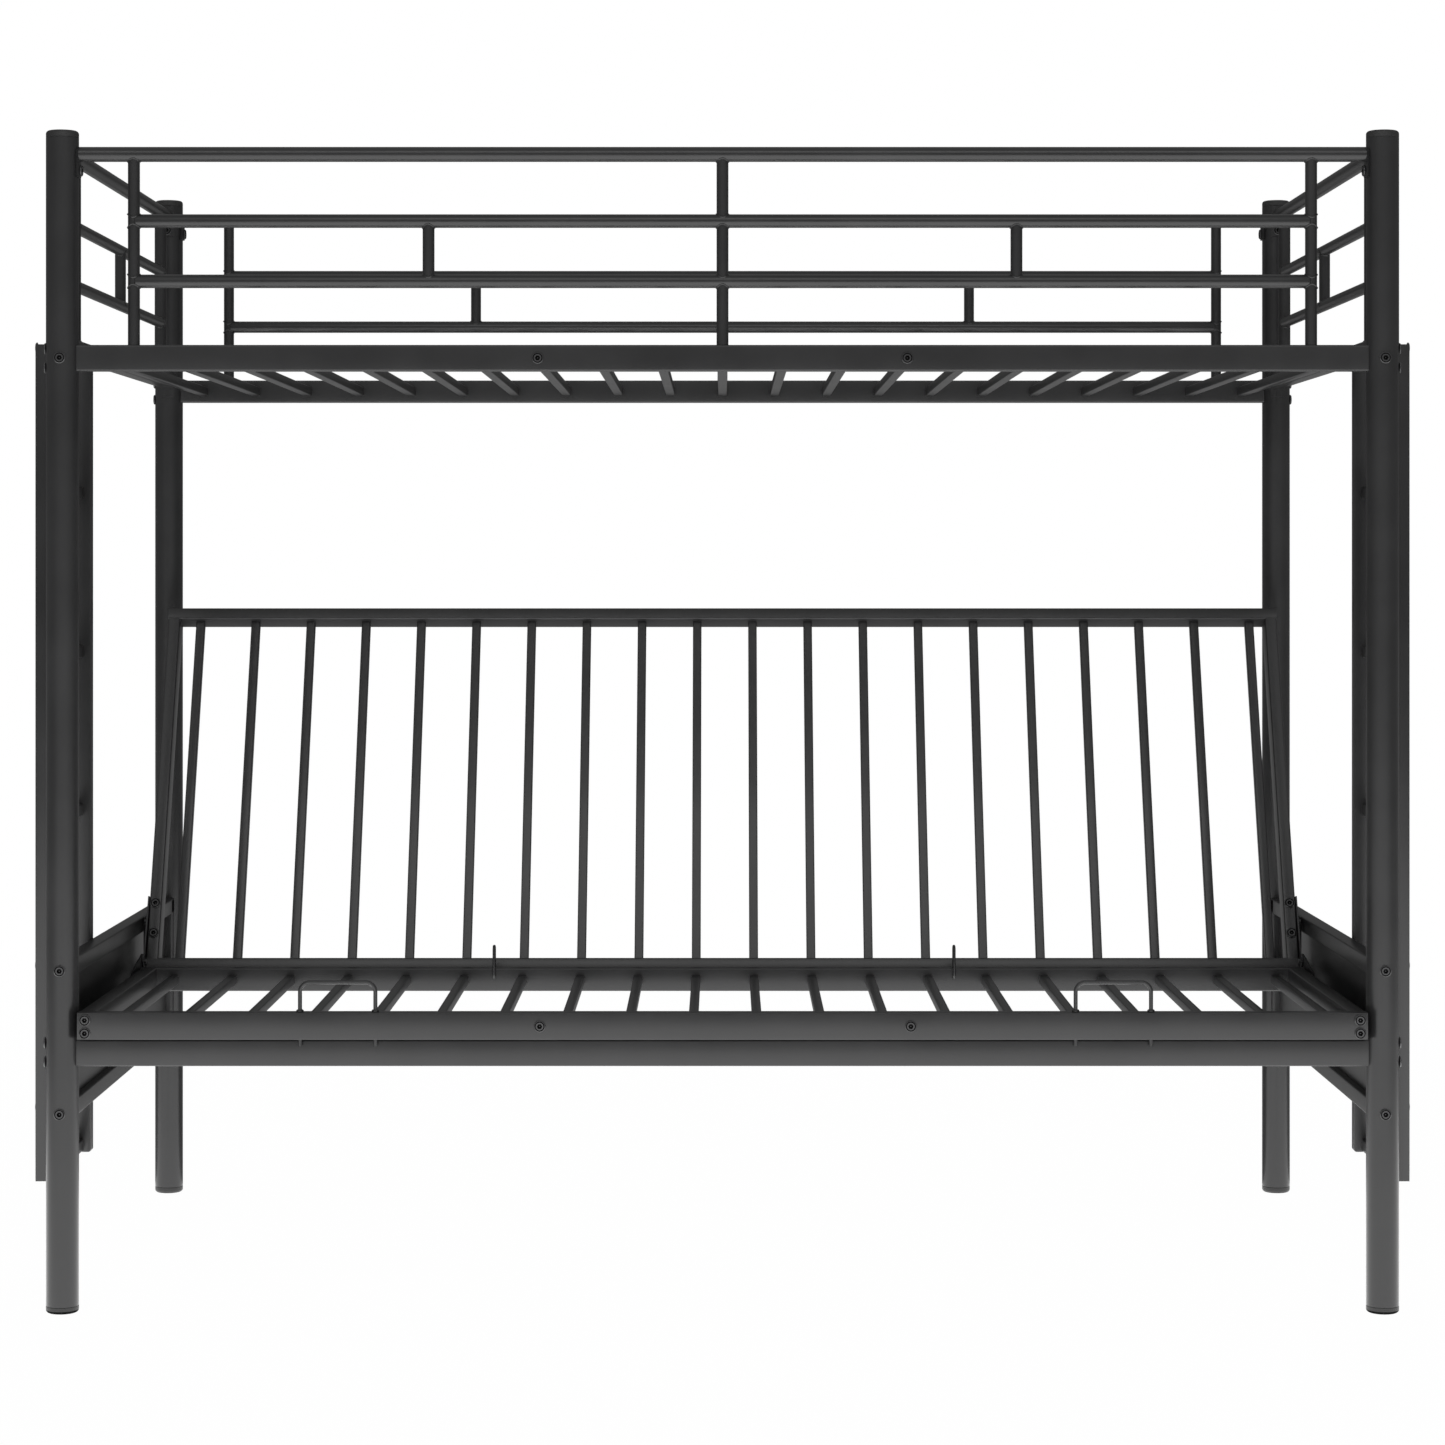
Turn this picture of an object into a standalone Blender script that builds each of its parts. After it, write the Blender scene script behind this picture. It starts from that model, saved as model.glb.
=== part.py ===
"""Twin-over-futon bunk bed in powder-coated steel tube, with a sliding seat and a reclining back.

Metres, +Z up, +Y to the rear, +X to the right. The origin is on the floor, under the middle of the bed.
"""

import math

import bmesh
import bpy
from mathutils import Vector

# Overall sizes: between the axes of the posts, and over their caps
POST_SPAN_X = 1.940
POST_SPAN_Y = 1.002
BED_HEIGHT = 1.7355

# Clearances shared by all pieces
FIT = 0.0003
OVERRUN = 0.002
WELD_OVERLAP = 0.0005

# Round sections are drawn with this many sides
POST_SIDES = 20
TUBE_SIDES = 12
BOLT_SIDES = 8
WIRE_SIDES = 6
WIRE_TURN_STEPS = 4

# Posts and their caps
POST_DIAMETER = 0.048
POST_WALL = 0.0015
CAP_HEIGHT = 0.010
CAP_ROUND = 0.005
CAP_ROUND_STEPS = 2
CAP_SPIGOT_LENGTH = 0.018

# Rectangular side rails, upper and lower
RAIL_THICKNESS = 0.020
RAIL_HEIGHT = 0.0386
UPPER_RAIL_TOP = 1.4206
LOWER_RAIL_TOP = 0.4008
RAIL_BOLT_SPACING = 0.028

# Square section of the end frames
FRAME_BAR = 0.025

# Bolts
BOLT_DIAMETER = 0.006
BOLT_HEAD_DIAMETER = 0.017
BOLT_HEAD_HEIGHT = 0.0023
BOLT_GRIP = 0.012
TAB_SCREW_REACH = 0.010

# Upper slats
UPPER_SLAT_COUNT = 21
UPPER_SLAT_PITCH = 0.0908
SLAT_WIDTH = 0.015
MIDDLE_BOLT_X = 0.2712
MIDDLE_BOLT_LENGTH = 0.030

# Guards: heights of the tube axes, and the places of the uprights
GUARD_TOP_DIAMETER = 0.022
GUARD_TUBE_DIAMETER = 0.020
GUARD_UPRIGHT_DIAMETER = 0.0175
SIDE_GUARD_TOP = 1.701
SIDE_GUARD_MIDDLE = 1.603
SIDE_GUARD_LOW = 1.5145
SIDE_GUARD_END_UPRIGHT = 0.865
SIDE_GUARD_SHORT_UPRIGHT = 0.432
END_GUARD_TOP = 1.7067
END_GUARD_MIDDLE = 1.604
END_GUARD_LOW = 1.5155
END_GUARD_UPRIGHT = 0.4065
END_RAIL_BOTTOM = 1.407
TAB_THICKNESS = 0.003
TAB_WIDTH = 0.023
SIDE_TAB_BOTTOM = 1.667
SIDE_TAB_TOP = 1.708
SIDE_TAB_BOLT = 1.677
END_TAB_BOTTOM = 1.672
END_TAB_TOP = 1.7147
END_TAB_BOLT = 1.682
END_RAIL_TAB_BOTTOM = 1.391
END_RAIL_TAB_BOLT = 1.401

# Lower end panels
PANEL_TOP = 0.5159
PANEL_BOTTOM = 0.281
SHEET_THICKNESS = 0.0015

# Ladders
LADDER_STILE_WIDTH = 0.036
LADDER_STILE_DEPTH = 0.020
LADDER_STILES = (-0.446, -0.183)
LADDER_TOP = 1.425
LADDER_BOTTOM = 0.1835
LADDER_CORNER = 0.010
LADDER_CORNER_STEPS = 4
LADDER_TO_FRAME = 0.0004
RUNG_DEPTH = 0.020
RUNG_HEIGHT = 0.0185
RUNG_SETBACK = 0.0125
RUNG_HEIGHTS = (0.1942, 0.4555, 0.7169, 0.9628, 1.210)
LADDER_SCREW_REACH = 0.018

# Seat of the futon, in its sofa position
SEAT_FRONT = -0.531
SEAT_TOP = 0.4434
SEAT_RAIL_HEIGHT = 0.040
SEAT_RAIL_THICKNESS = 0.0225
SEAT_HALF_WIDTH = 0.9433
SEAT_SIDE_WIDTH = 0.025
SEAT_REAR_BAR_FRONT = 0.040
SEAT_REAR_BAR_HEIGHT = 0.0373
SEAT_REAR_BAR_THICKNESS = 0.020
SEAT_SLAT_TOP = 0.4314
SEAT_SLAT_WIDTH = 0.0142
FUTON_SLAT_COUNT = 20
FUTON_SLAT_PITCH = 0.09407
FUTON_SLAT_SHIFT = 0.004
SEAT_CORNER_SCREW_INSET = 0.011
SEAT_CORNER_SCREW_DROPS = (0.0145, 0.0325)

# Wire mattress stops standing in the front rail of the seat
STOP_WIRE_DIAMETER = 0.006
STOP_WIDTH = 0.1104
STOP_CENTRES = (-0.5635, 0.5723)
STOP_TOP = 0.4864
STOP_CORNER = 0.014
STOP_BELOW_RAIL = 0.010
STOP_COLLAR_DIAMETER = 0.011
STOP_COLLAR_HEIGHT = 0.003
STOP_HOLE_DIAMETER = 0.0066

# Wire pull rings, hooked through the front and the top of the seat's rear bar
RING_CENTRES = (-0.3705, 0.3757)
RING_WIRE_DIAMETER = 0.0047
RING_HOLE_DIAMETER = 0.0062
RING_TOP = 0.4788
RING_LOW = 0.4269
RING_FRONT = 0.0358
RING_REAR = 0.0510
RING_CORNER = 0.006
RING_END_IN_BAR = 0.006

# Reclining back, seen along the bed: it leans to the rear by this angle from the vertical
BACK_LEAN = math.radians(23.0)
BACK_LOW_FRONT_Y = 0.077
BACK_LOW_FRONT_Z = 0.4374
BACK_LENGTH = 0.638
BACK_FRAME_DEPTH = 0.040
BACK_TUBE_WIDTH = 0.020
BACK_HALF_WIDTH = 0.943
BACK_SLAT_WIDTH = 0.0145
BACK_SLAT_RECESS = 0.0125
BACK_BOLT_PLACES = (0.062, 0.113)
BACK_BOLT_LENGTH = 0.030

# Hinge between seat and back: a plate on each back tube and an ear outside it on the seat
PIVOT_Y = 0.074
PIVOT_Z = 0.451
HINGE_PLATE_THICKNESS = 0.0025
HINGE_PLATE_LENGTH = 0.125
HINGE_PLATE_DEPTH = 0.040
HINGE_EYE_RADIUS = 0.012
HINGE_EYE_STEPS = 8
HINGE_RUNNING_GAP = 0.0006
HINGE_PIN_DIAMETER = 0.008
HINGE_PIN_CLEARANCE = 0.00008
HINGE_PIN_HEAD_DIAMETER = 0.014
HINGE_PIN_HEAD_HEIGHT = 0.002
HINGE_PIN_END = 0.003
HINGE_PIN_SIDES = 24
EAR_FRONT = -0.030
EAR_BOTTOM = 0.412
EAR_SPACER_REAR = 0.035
EAR_SPACER_TOP = 0.440

# Back stops on the end panels, and the pegs on the hinge plates that lean on them
BACK_STOP_INNER = 0.9463
BACK_STOP_FRONT = 0.149
BACK_STOP_DEPTH = 0.040
BACK_STOP_WALL = 0.0015
BACK_STOP_BOTTOM = 0.4074
PEG_DIAMETER = 0.008
PEG_HEIGHT = 0.508
PEG_END = 0.955

# Angle runners that carry the seat, and the glides under its side bars
RUNNER_LEG = 0.022
RUNNER_SHELF = 0.034
RUNNER_THICKNESS = 0.0025
RUNNER_HALF_LENGTH = 0.470
GLIDE_HEIGHT = 0.0022
GLIDE_LENGTH = 0.050
GLIDE_WIDTH = 0.018
GLIDE_PLACES = (-0.400, -0.020)

# Finishes: base colour, metallic and roughness
SHARP_ANGLE = math.radians(35.0)
STEEL_FINISH = ((0.012, 0.012, 0.013, 1.0), 0.35, 0.42)
PLASTIC_FINISH = ((0.010, 0.010, 0.010, 1.0), 0.0, 0.50)
BOLT_FINISH = ((0.020, 0.020, 0.022, 1.0), 0.8, 0.35)

# Places worked out from the sizes above
HALF_X = POST_SPAN_X / 2
HALF_Y = POST_SPAN_Y / 2
POST_RADIUS = POST_DIAMETER / 2
POST_INNER_X = HALF_X - POST_RADIUS - FIT
POST_INNER_Y = HALF_Y - POST_RADIUS - FIT
UPPER_RAIL_AXIS = UPPER_RAIL_TOP - RAIL_HEIGHT / 2
LOWER_RAIL_AXIS = LOWER_RAIL_TOP - RAIL_HEIGHT / 2
PANEL_TOP_AXIS = PANEL_TOP - FRAME_BAR / 2
PANEL_BOTTOM_AXIS = PANEL_BOTTOM + FRAME_BAR / 2
PANEL_MIDDLE = (PANEL_TOP + PANEL_BOTTOM) / 2
PANEL_INNER_X = HALF_X - FRAME_BAR / 2
END_RAIL_AXIS = END_RAIL_BOTTOM + FRAME_BAR / 2
LADDER_INNER_X = HALF_X + FRAME_BAR / 2 + LADDER_TO_FRAME
SEAT_RAIL_AXIS_Y = SEAT_FRONT + SEAT_RAIL_THICKNESS / 2
SEAT_RAIL_AXIS_Z = SEAT_TOP - SEAT_RAIL_HEIGHT / 2
SEAT_RAIL_REAR = SEAT_FRONT + SEAT_RAIL_THICKNESS
SEAT_BOTTOM = SEAT_TOP - SEAT_RAIL_HEIGHT
SEAT_BAR_AXIS_Y = SEAT_REAR_BAR_FRONT + SEAT_REAR_BAR_THICKNESS / 2
SEAT_BAR_AXIS_Z = SEAT_TOP - SEAT_REAR_BAR_HEIGHT / 2
RUNNER_TOP = SEAT_BOTTOM - GLIDE_HEIGHT - 2 * FIT
HINGE_PLATE_INNER = BACK_HALF_WIDTH + FIT
HINGE_PLATE_OUTER = HINGE_PLATE_INNER + HINGE_PLATE_THICKNESS
EAR_INNER = HINGE_PLATE_OUTER + HINGE_RUNNING_GAP
EAR_OUTER = EAR_INNER + HINGE_PLATE_THICKNESS
BOLT_RADIUS = BOLT_DIAMETER / 2
HOLE_RADIUS = BOLT_RADIUS + FIT
FRONT_OF_BED = SEAT_FRONT - BOLT_HEAD_HEIGHT - FIT
REAR_OF_BED = HALF_Y + POST_RADIUS + FIT + BOLT_HEAD_HEIGHT
SHIFT_Y = -(FRONT_OF_BED + REAR_OF_BED) / 2

X_AXIS = Vector((1.0, 0.0, 0.0))
Y_AXIS = Vector((0.0, 1.0, 0.0))
Z_AXIS = Vector((0.0, 0.0, 1.0))
BACK_UP = Vector((0.0, math.sin(BACK_LEAN), math.cos(BACK_LEAN)))
BACK_OUT = Vector((0.0, math.cos(BACK_LEAN), -math.sin(BACK_LEAN)))
SIDES = (("left", -1), ("right", 1))
ENDS = (("front", -1), ("rear", 1))


def clear_scene():
    for item in list(bpy.data.objects):
        bpy.data.objects.remove(item, do_unlink=True)


def make_finish(name, finish):
    colour, metallic, roughness = finish
    material = bpy.data.materials.new(name)
    material.use_nodes = True
    shader = material.node_tree.nodes["Principled BSDF"]
    shader.inputs["Base Color"].default_value = colour
    shader.inputs["Metallic"].default_value = metallic
    shader.inputs["Roughness"].default_value = roughness
    material.diffuse_color = colour
    return material


def circle(radius, sides):
    """Points of a round section."""
    turn = 2 * math.pi / sides
    return [(radius * math.cos(turn * i), radius * math.sin(turn * i)) for i in range(sides)]


def rectangle(width, height):
    """Points of a rectangular section."""
    x = width / 2
    y = height / 2
    return [(-x, -y), (x, -y), (x, y), (-x, y)]


def across(along):
    """Two directions square to a straight piece: the first is level, the second points up or back."""
    side = Z_AXIS.cross(along)
    side = side.normalized() if side.length > 0.5 else X_AXIS.copy()
    return side, along.cross(side).normalized()


def ring_of(mesh, centre, along, section):
    first, second = across(along)
    return [mesh.verts.new(centre + first * x + second * y) for x, y in section]


def bridge(mesh, ring_a, ring_b):
    count = len(ring_a)
    for i in range(count):
        j = (i + 1) % count
        mesh.faces.new((ring_a[i], ring_a[j], ring_b[j], ring_b[i]))


def add_bar(mesh, start, end, section):
    """A solid straight bar of one section."""
    along = (end - start).normalized()
    first = ring_of(mesh, start, along, section)
    last = ring_of(mesh, end, along, section)
    bridge(mesh, first, last)
    mesh.faces.new(list(reversed(first)))
    mesh.faces.new(last)


def add_tube(mesh, start, end, outer, inner):
    """An open tube: the inner section has as many points as the outer one."""
    along = (end - start).normalized()
    rings = [ring_of(mesh, start, along, outer), ring_of(mesh, end, along, outer)]
    rings += [ring_of(mesh, end, along, inner), ring_of(mesh, start, along, inner)]
    for i, ring in enumerate(rings):
        bridge(mesh, ring, rings[(i + 1) % len(rings)])


def add_turned(mesh, centre, along, profile, sides):
    """A turned solid: the profile gives a radius and a distance along the axis for each ring."""
    rings = [ring_of(mesh, centre + along * place, along, circle(radius, sides)) for radius, place in profile]
    for i in range(len(rings) - 1):
        bridge(mesh, rings[i], rings[i + 1])
    mesh.faces.new(list(reversed(rings[0])))
    mesh.faces.new(rings[-1])


def add_wire(mesh, points, normal, diameter):
    """A round wire bent along a path that is flat and square to the normal."""
    section = circle(diameter / 2, WIRE_SIDES)
    rings = []
    for i, point in enumerate(points):
        before = points[max(i - 1, 0)]
        after = points[min(i + 1, len(points) - 1)]
        side = (after - before).normalized().cross(normal)
        rings.append([mesh.verts.new(point + normal * x + side * y) for x, y in section])
    for i in range(len(rings) - 1):
        bridge(mesh, rings[i], rings[i + 1])
    mesh.faces.new(list(reversed(rings[0])))
    mesh.faces.new(rings[-1])


def finish_mesh(mesh, name):
    bmesh.ops.recalc_face_normals(mesh, faces=mesh.faces)
    data = bpy.data.meshes.new(name)
    mesh.to_mesh(data)
    mesh.free()
    return data


def make_group(name, place, parent=None):
    """An empty that carries one body of the bed; its place is in the frame of the posts."""
    empty = bpy.data.objects.new(name, None)
    bpy.context.scene.collection.objects.link(empty)
    if parent:
        empty.parent = parent["empty"]
        empty.location = place - parent["place"]
    else:
        empty.location = place + Y_AXIS * SHIFT_Y
    return {"empty": empty, "place": place}


def link(name, data, group):
    item = bpy.data.objects.new(name, data)
    bpy.context.scene.collection.objects.link(item)
    item.parent = group["empty"]
    item.location = -group["place"]
    return item


def combine(item, mesh, operation, group):
    """Joins a hidden shape to a piece, or cuts it out."""
    name = f"{item.name}_{operation.lower()}_{len(item.modifiers)}"
    other = link(name, finish_mesh(mesh, name), group)
    other.display_type = "WIRE"
    other.hide_render = True
    step = item.modifiers.new(operation.capitalize(), "BOOLEAN")
    step.operation = operation
    step.solver = "EXACT"
    step.object = other


def make_piece(name, mesh, material, group, steps=()):
    """One named piece: a base shape, and what is then joined to it or cut out of it, in order."""
    data = finish_mesh(mesh, name)
    data.materials.append(material)
    data.shade_smooth()
    data.set_sharp_from_angle(angle=SHARP_ANGLE)
    item = link(name, data, group)
    for operation, shape in steps:
        combine(item, shape, operation, group)
    return item


def post_axes():
    """The level places of the four posts, with their names."""
    for end, y in ENDS:
        for side, x in SIDES:
            yield end + "_" + side, Vector((x * HALF_X, y * HALF_Y, 0.0))


def post_cutters():
    """Shapes of the posts, to cope the ends of what meets them."""
    mesh = bmesh.new()
    section = circle(POST_RADIUS + FIT, POST_SIDES)
    for _, foot in post_axes():
        add_bar(mesh, foot - Z_AXIS * OVERRUN, foot + Z_AXIS * (BED_HEIGHT + OVERRUN), section)
    return mesh


def rail_bolt_heights():
    for axis in (LOWER_RAIL_AXIS, UPPER_RAIL_AXIS):
        yield axis - RAIL_BOLT_SPACING / 2
        yield axis + RAIL_BOLT_SPACING / 2


def end_bolt_heights():
    return (PANEL_BOTTOM_AXIS, PANEL_TOP_AXIS, END_RAIL_TAB_BOLT)


def add_bolt(mesh, seat, direction, length):
    """A flat-headed bolt: the underside of its head is at the seat, and its shank points along direction."""
    head = BOLT_HEAD_DIAMETER / 2
    profile = [(head, -BOLT_HEAD_HEIGHT), (head, 0.0), (BOLT_RADIUS, 0.0), (BOLT_RADIUS, length)]
    add_turned(mesh, seat, direction, profile, BOLT_SIDES)


def inward(foot):
    """Directions from a post along the side rails and along the end frames, into the bed."""
    return (-X_AXIS if foot.x > 0 else X_AXIS), (-Y_AXIS if foot.y > 0 else Y_AXIS)


def holes_in_post(foot):
    """Holes right through for the bolts of the side rails and end frames, and inner holes at the tabs."""
    mesh = bmesh.new()
    section = circle(HOLE_RADIUS, BOLT_SIDES)
    along_x, along_y = inward(foot)
    reach = POST_RADIUS + OVERRUN
    for direction, heights in ((along_x, rail_bolt_heights()), (along_y, end_bolt_heights())):
        for height in heights:
            centre = foot + Z_AXIS * height
            add_bar(mesh, centre - direction * reach, centre + direction * reach, section)
    inner = POST_RADIUS - TAB_SCREW_REACH - OVERRUN
    for direction, height in ((along_x, SIDE_TAB_BOLT), (along_y, END_TAB_BOLT)):
        centre = foot + Z_AXIS * height
        add_bar(mesh, centre + direction * inner, centre + direction * reach, section)
    return mesh


def add_post_bolt(mesh, foot, height, direction):
    """A bolt from the outer side of a post, through it, into the end of a rail."""
    seat = foot + Z_AXIS * height - direction * (POST_RADIUS + FIT)
    add_bolt(mesh, seat, direction, POST_DIAMETER + 2 * FIT + BOLT_GRIP)


def add_tab_screw(mesh, foot, height, direction):
    """A screw from inside the bed, through a tab, into the wall of a post."""
    face = POST_RADIUS + FIT + TAB_THICKNESS - WELD_OVERLAP
    seat = foot + Z_AXIS * height + direction * face
    add_bolt(mesh, seat, -direction, face - POST_RADIUS + TAB_SCREW_REACH)


def make_posts(steel, frame):
    """Round posts, open at both ends under their caps."""
    outer = circle(POST_RADIUS, POST_SIDES)
    inner = circle(POST_RADIUS - POST_WALL, POST_SIDES)
    for name, foot in post_axes():
        mesh = bmesh.new()
        low = foot + Z_AXIS * (CAP_HEIGHT + FIT)
        high = foot + Z_AXIS * (BED_HEIGHT - CAP_HEIGHT - FIT)
        add_tube(mesh, low, high, outer, inner)
        make_piece("post_" + name, mesh, steel, frame, [("DIFFERENCE", holes_in_post(foot))])


def cap_profile():
    """Radius and distance of each ring of a cap, from its round crown to the end of its spigot."""
    quarter = math.pi / 2
    centre = POST_RADIUS - CAP_ROUND
    rings = []
    for i in range(CAP_ROUND_STEPS + 1):
        angle = quarter * i / CAP_ROUND_STEPS
        rings.append((centre + CAP_ROUND * math.sin(angle), CAP_ROUND * (1 - math.cos(angle))))
    spigot = POST_RADIUS - POST_WALL - FIT
    rings += [(POST_RADIUS, CAP_HEIGHT), (spigot, CAP_HEIGHT), (spigot, CAP_HEIGHT + CAP_SPIGOT_LENGTH)]
    return rings


def make_caps(plastic, frame):
    for name, foot in post_axes():
        mesh = bmesh.new()
        add_turned(mesh, foot, Z_AXIS, cap_profile(), POST_SIDES)
        make_piece("foot_cap_" + name, mesh, plastic, frame)
        mesh = bmesh.new()
        add_turned(mesh, foot + Z_AXIS * BED_HEIGHT, -Z_AXIS, cap_profile(), POST_SIDES)
        make_piece("top_cap_" + name, mesh, plastic, frame)


def rail_bolts(y, axis):
    """Bolts through two posts into the ends of one side rail."""
    mesh = bmesh.new()
    for _, foot in post_axes():
        if foot.y * y > 0:
            for half in (-RAIL_BOLT_SPACING / 2, RAIL_BOLT_SPACING / 2):
                add_post_bolt(mesh, foot, axis + half, inward(foot)[0])
    return mesh


def middle_bolt_x(shift):
    return [shift + side * MIDDLE_BOLT_X for _, side in SIDES]


def middle_holes(centre):
    mesh = bmesh.new()
    section = circle(HOLE_RADIUS, BOLT_SIDES)
    outer = centre + Y_AXIS * math.copysign(RAIL_THICKNESS / 2 + OVERRUN, centre.y)
    inner = centre - Y_AXIS * math.copysign(MIDDLE_BOLT_LENGTH, centre.y)
    for x in middle_bolt_x(0.0):
        add_bar(mesh, outer + X_AXIS * x, inner + X_AXIS * x, section)
    return mesh


def slat_places(count, pitch, shift):
    return [shift + pitch * (i - (count - 1) / 2) for i in range(count)]


def upper_slats():
    mesh = bmesh.new()
    reach = Y_AXIS * (HALF_Y - RAIL_THICKNESS / 2 + OVERRUN)
    for x in slat_places(UPPER_SLAT_COUNT, UPPER_SLAT_PITCH, 0.0):
        centre = Vector((x, 0.0, UPPER_RAIL_AXIS))
        add_bar(mesh, centre - reach, centre + reach, rectangle(SLAT_WIDTH, SLAT_WIDTH))
    return mesh


def make_side_rails(steel, frame):
    """The upper deck is two side rails welded to its slats; the lower side rails are single tubes."""
    section = rectangle(RAIL_THICKNESS, RAIL_HEIGHT)
    reach = X_AXIS * HALF_X
    deck = bmesh.new()
    steps = [("UNION", upper_slats()), ("DIFFERENCE", post_cutters())]
    for end, y in ENDS:
        centre = Vector((0.0, y * HALF_Y, UPPER_RAIL_AXIS))
        add_bar(deck, centre - reach, centre + reach, section)
        steps.append(("DIFFERENCE", middle_holes(centre)))
        steps.append(("UNION", rail_bolts(y, UPPER_RAIL_AXIS)))
        centre = Vector((0.0, y * HALF_Y, LOWER_RAIL_AXIS))
        mesh = bmesh.new()
        add_bar(mesh, centre - reach, centre + reach, section)
        lower_steps = [("DIFFERENCE", post_cutters()), ("UNION", rail_bolts(y, LOWER_RAIL_AXIS))]
        make_piece("lower_side_rail_" + end, mesh, steel, frame, lower_steps)
    make_piece("upper_deck", deck, steel, frame, steps)


def add_box(mesh, low, high):
    """A plain block between two corners."""
    middle = (low.y + high.y) / 2
    level = (low.z + high.z) / 2
    section = rectangle(high.y - low.y, high.z - low.z)
    add_bar(mesh, Vector((low.x, middle, level)), Vector((high.x, middle, level)), section)


def mirrored_box(mesh, side, low, high):
    """A block on one side of the bed, given by its corners on the right."""
    if side > 0:
        add_box(mesh, Vector(low), Vector(high))
    else:
        add_box(mesh, Vector((-high[0], low[1], low[2])), Vector((-low[0], high[1], high[2])))


def make_side_guards(steel, frame):
    """Front and rear guards: a top tube coped to the posts, two lower tubes and five uprights."""
    upright = circle(GUARD_UPRIGHT_DIAMETER / 2, TUBE_SIDES)
    lower = circle(GUARD_TUBE_DIAMETER / 2, TUBE_SIDES)
    for end, y in ENDS:
        plane = Y_AXIS * y * HALF_Y
        level = bmesh.new()
        top = plane + Z_AXIS * SIDE_GUARD_TOP
        reach = X_AXIS * HALF_X
        add_bar(level, top - reach, top + reach, circle(GUARD_TOP_DIAMETER / 2, TUBE_SIDES))
        for height in (SIDE_GUARD_MIDDLE, SIDE_GUARD_LOW):
            middle = plane + Z_AXIS * height
            reach = X_AXIS * SIDE_GUARD_END_UPRIGHT
            add_bar(level, middle - reach, middle + reach, lower)
        standing = bmesh.new()
        for x in (-SIDE_GUARD_END_UPRIGHT, 0.0, SIDE_GUARD_END_UPRIGHT):
            foot = plane + X_AXIS * x + Z_AXIS * (UPPER_RAIL_TOP + FIT)
            add_bar(standing, foot, plane + X_AXIS * x + Z_AXIS * SIDE_GUARD_TOP, upright)
        for x in (-SIDE_GUARD_SHORT_UPRIGHT, SIDE_GUARD_SHORT_UPRIGHT):
            low = plane + X_AXIS * x + Z_AXIS * SIDE_GUARD_LOW
            add_bar(standing, low, plane + X_AXIS * x + Z_AXIS * SIDE_GUARD_MIDDLE, upright)
        screws = bmesh.new()
        for _, x in SIDES:
            low = (POST_INNER_X - TAB_THICKNESS, plane.y - TAB_WIDTH / 2, SIDE_TAB_BOTTOM)
            mirrored_box(standing, x, low, (HALF_X, plane.y + TAB_WIDTH / 2, SIDE_TAB_TOP))
            add_tab_screw(screws, plane + X_AXIS * x * HALF_X, SIDE_TAB_BOLT, -X_AXIS * x)
        steps = [("UNION", standing), ("DIFFERENCE", post_cutters()), ("UNION", screws)]
        make_piece("guardrail_" + end, level, steel, frame, steps)


def ladder_holes(side, heights):
    """Holes across an end frame for the bolts of the ladder."""
    mesh = bmesh.new()
    section = circle(HOLE_RADIUS, BOLT_SIDES)
    inner = X_AXIS * side * (PANEL_INNER_X - OVERRUN)
    outer = X_AXIS * side * (LADDER_INNER_X + OVERRUN)
    for y in LADDER_STILES:
        for height in heights:
            place = Y_AXIS * y + Z_AXIS * height
            add_bar(mesh, place + inner, place + outer, section)
    return mesh


def make_end_guards(steel, frame):
    """End guards: a square bottom rail, three round tubes and three uprights."""
    upright = circle(GUARD_TUBE_DIAMETER / 2, TUBE_SIDES)
    slim = circle(GUARD_UPRIGHT_DIAMETER / 2, TUBE_SIDES)
    half_tab = TAB_WIDTH / 2
    for side, x in SIDES:
        plane = X_AXIS * x * HALF_X
        level = bmesh.new()
        reach = Y_AXIS * HALF_Y
        top = plane + Z_AXIS * END_GUARD_TOP
        add_bar(level, top - reach, top + reach, circle(GUARD_TOP_DIAMETER / 2, TUBE_SIDES))
        bottom = plane + Z_AXIS * END_RAIL_AXIS
        add_bar(level, bottom - reach, bottom + reach, rectangle(FRAME_BAR, FRAME_BAR))
        for height in (END_GUARD_MIDDLE, END_GUARD_LOW):
            middle = plane + Z_AXIS * height
            add_bar(level, middle - Y_AXIS * END_GUARD_UPRIGHT, middle + Y_AXIS * END_GUARD_UPRIGHT, slim)
        standing = bmesh.new()
        for y in (-END_GUARD_UPRIGHT, END_GUARD_UPRIGHT):
            place = plane + Y_AXIS * y
            add_bar(standing, place + Z_AXIS * END_RAIL_AXIS, place + Z_AXIS * END_GUARD_TOP, upright)
        add_bar(standing, plane + Z_AXIS * END_GUARD_LOW, plane + Z_AXIS * END_GUARD_MIDDLE, slim)
        for _, y in ENDS:
            near = POST_INNER_Y - TAB_THICKNESS
            span = sorted((y * near, y * HALF_Y))
            for low, high in ((END_TAB_BOTTOM, END_TAB_TOP), (END_RAIL_TAB_BOTTOM, END_RAIL_AXIS)):
                corner = (HALF_X - half_tab, span[0], low)
                mirrored_box(standing, x, corner, (HALF_X + half_tab, span[1], high))
        steps = [("UNION", standing), ("DIFFERENCE", post_cutters())]
        steps.append(("DIFFERENCE", ladder_holes(x, (END_RAIL_AXIS,))))
        screws = bmesh.new()
        for _, y in ENDS:
            foot = Vector((x * HALF_X, y * HALF_Y, 0.0))
            add_tab_screw(screws, foot, END_TAB_BOLT, -Y_AXIS * y)
            add_post_bolt(screws, foot, END_RAIL_TAB_BOLT, -Y_AXIS * y)
        steps.append(("UNION", screws))
        make_piece("end_guard_" + side, level, steel, frame, steps)


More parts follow.
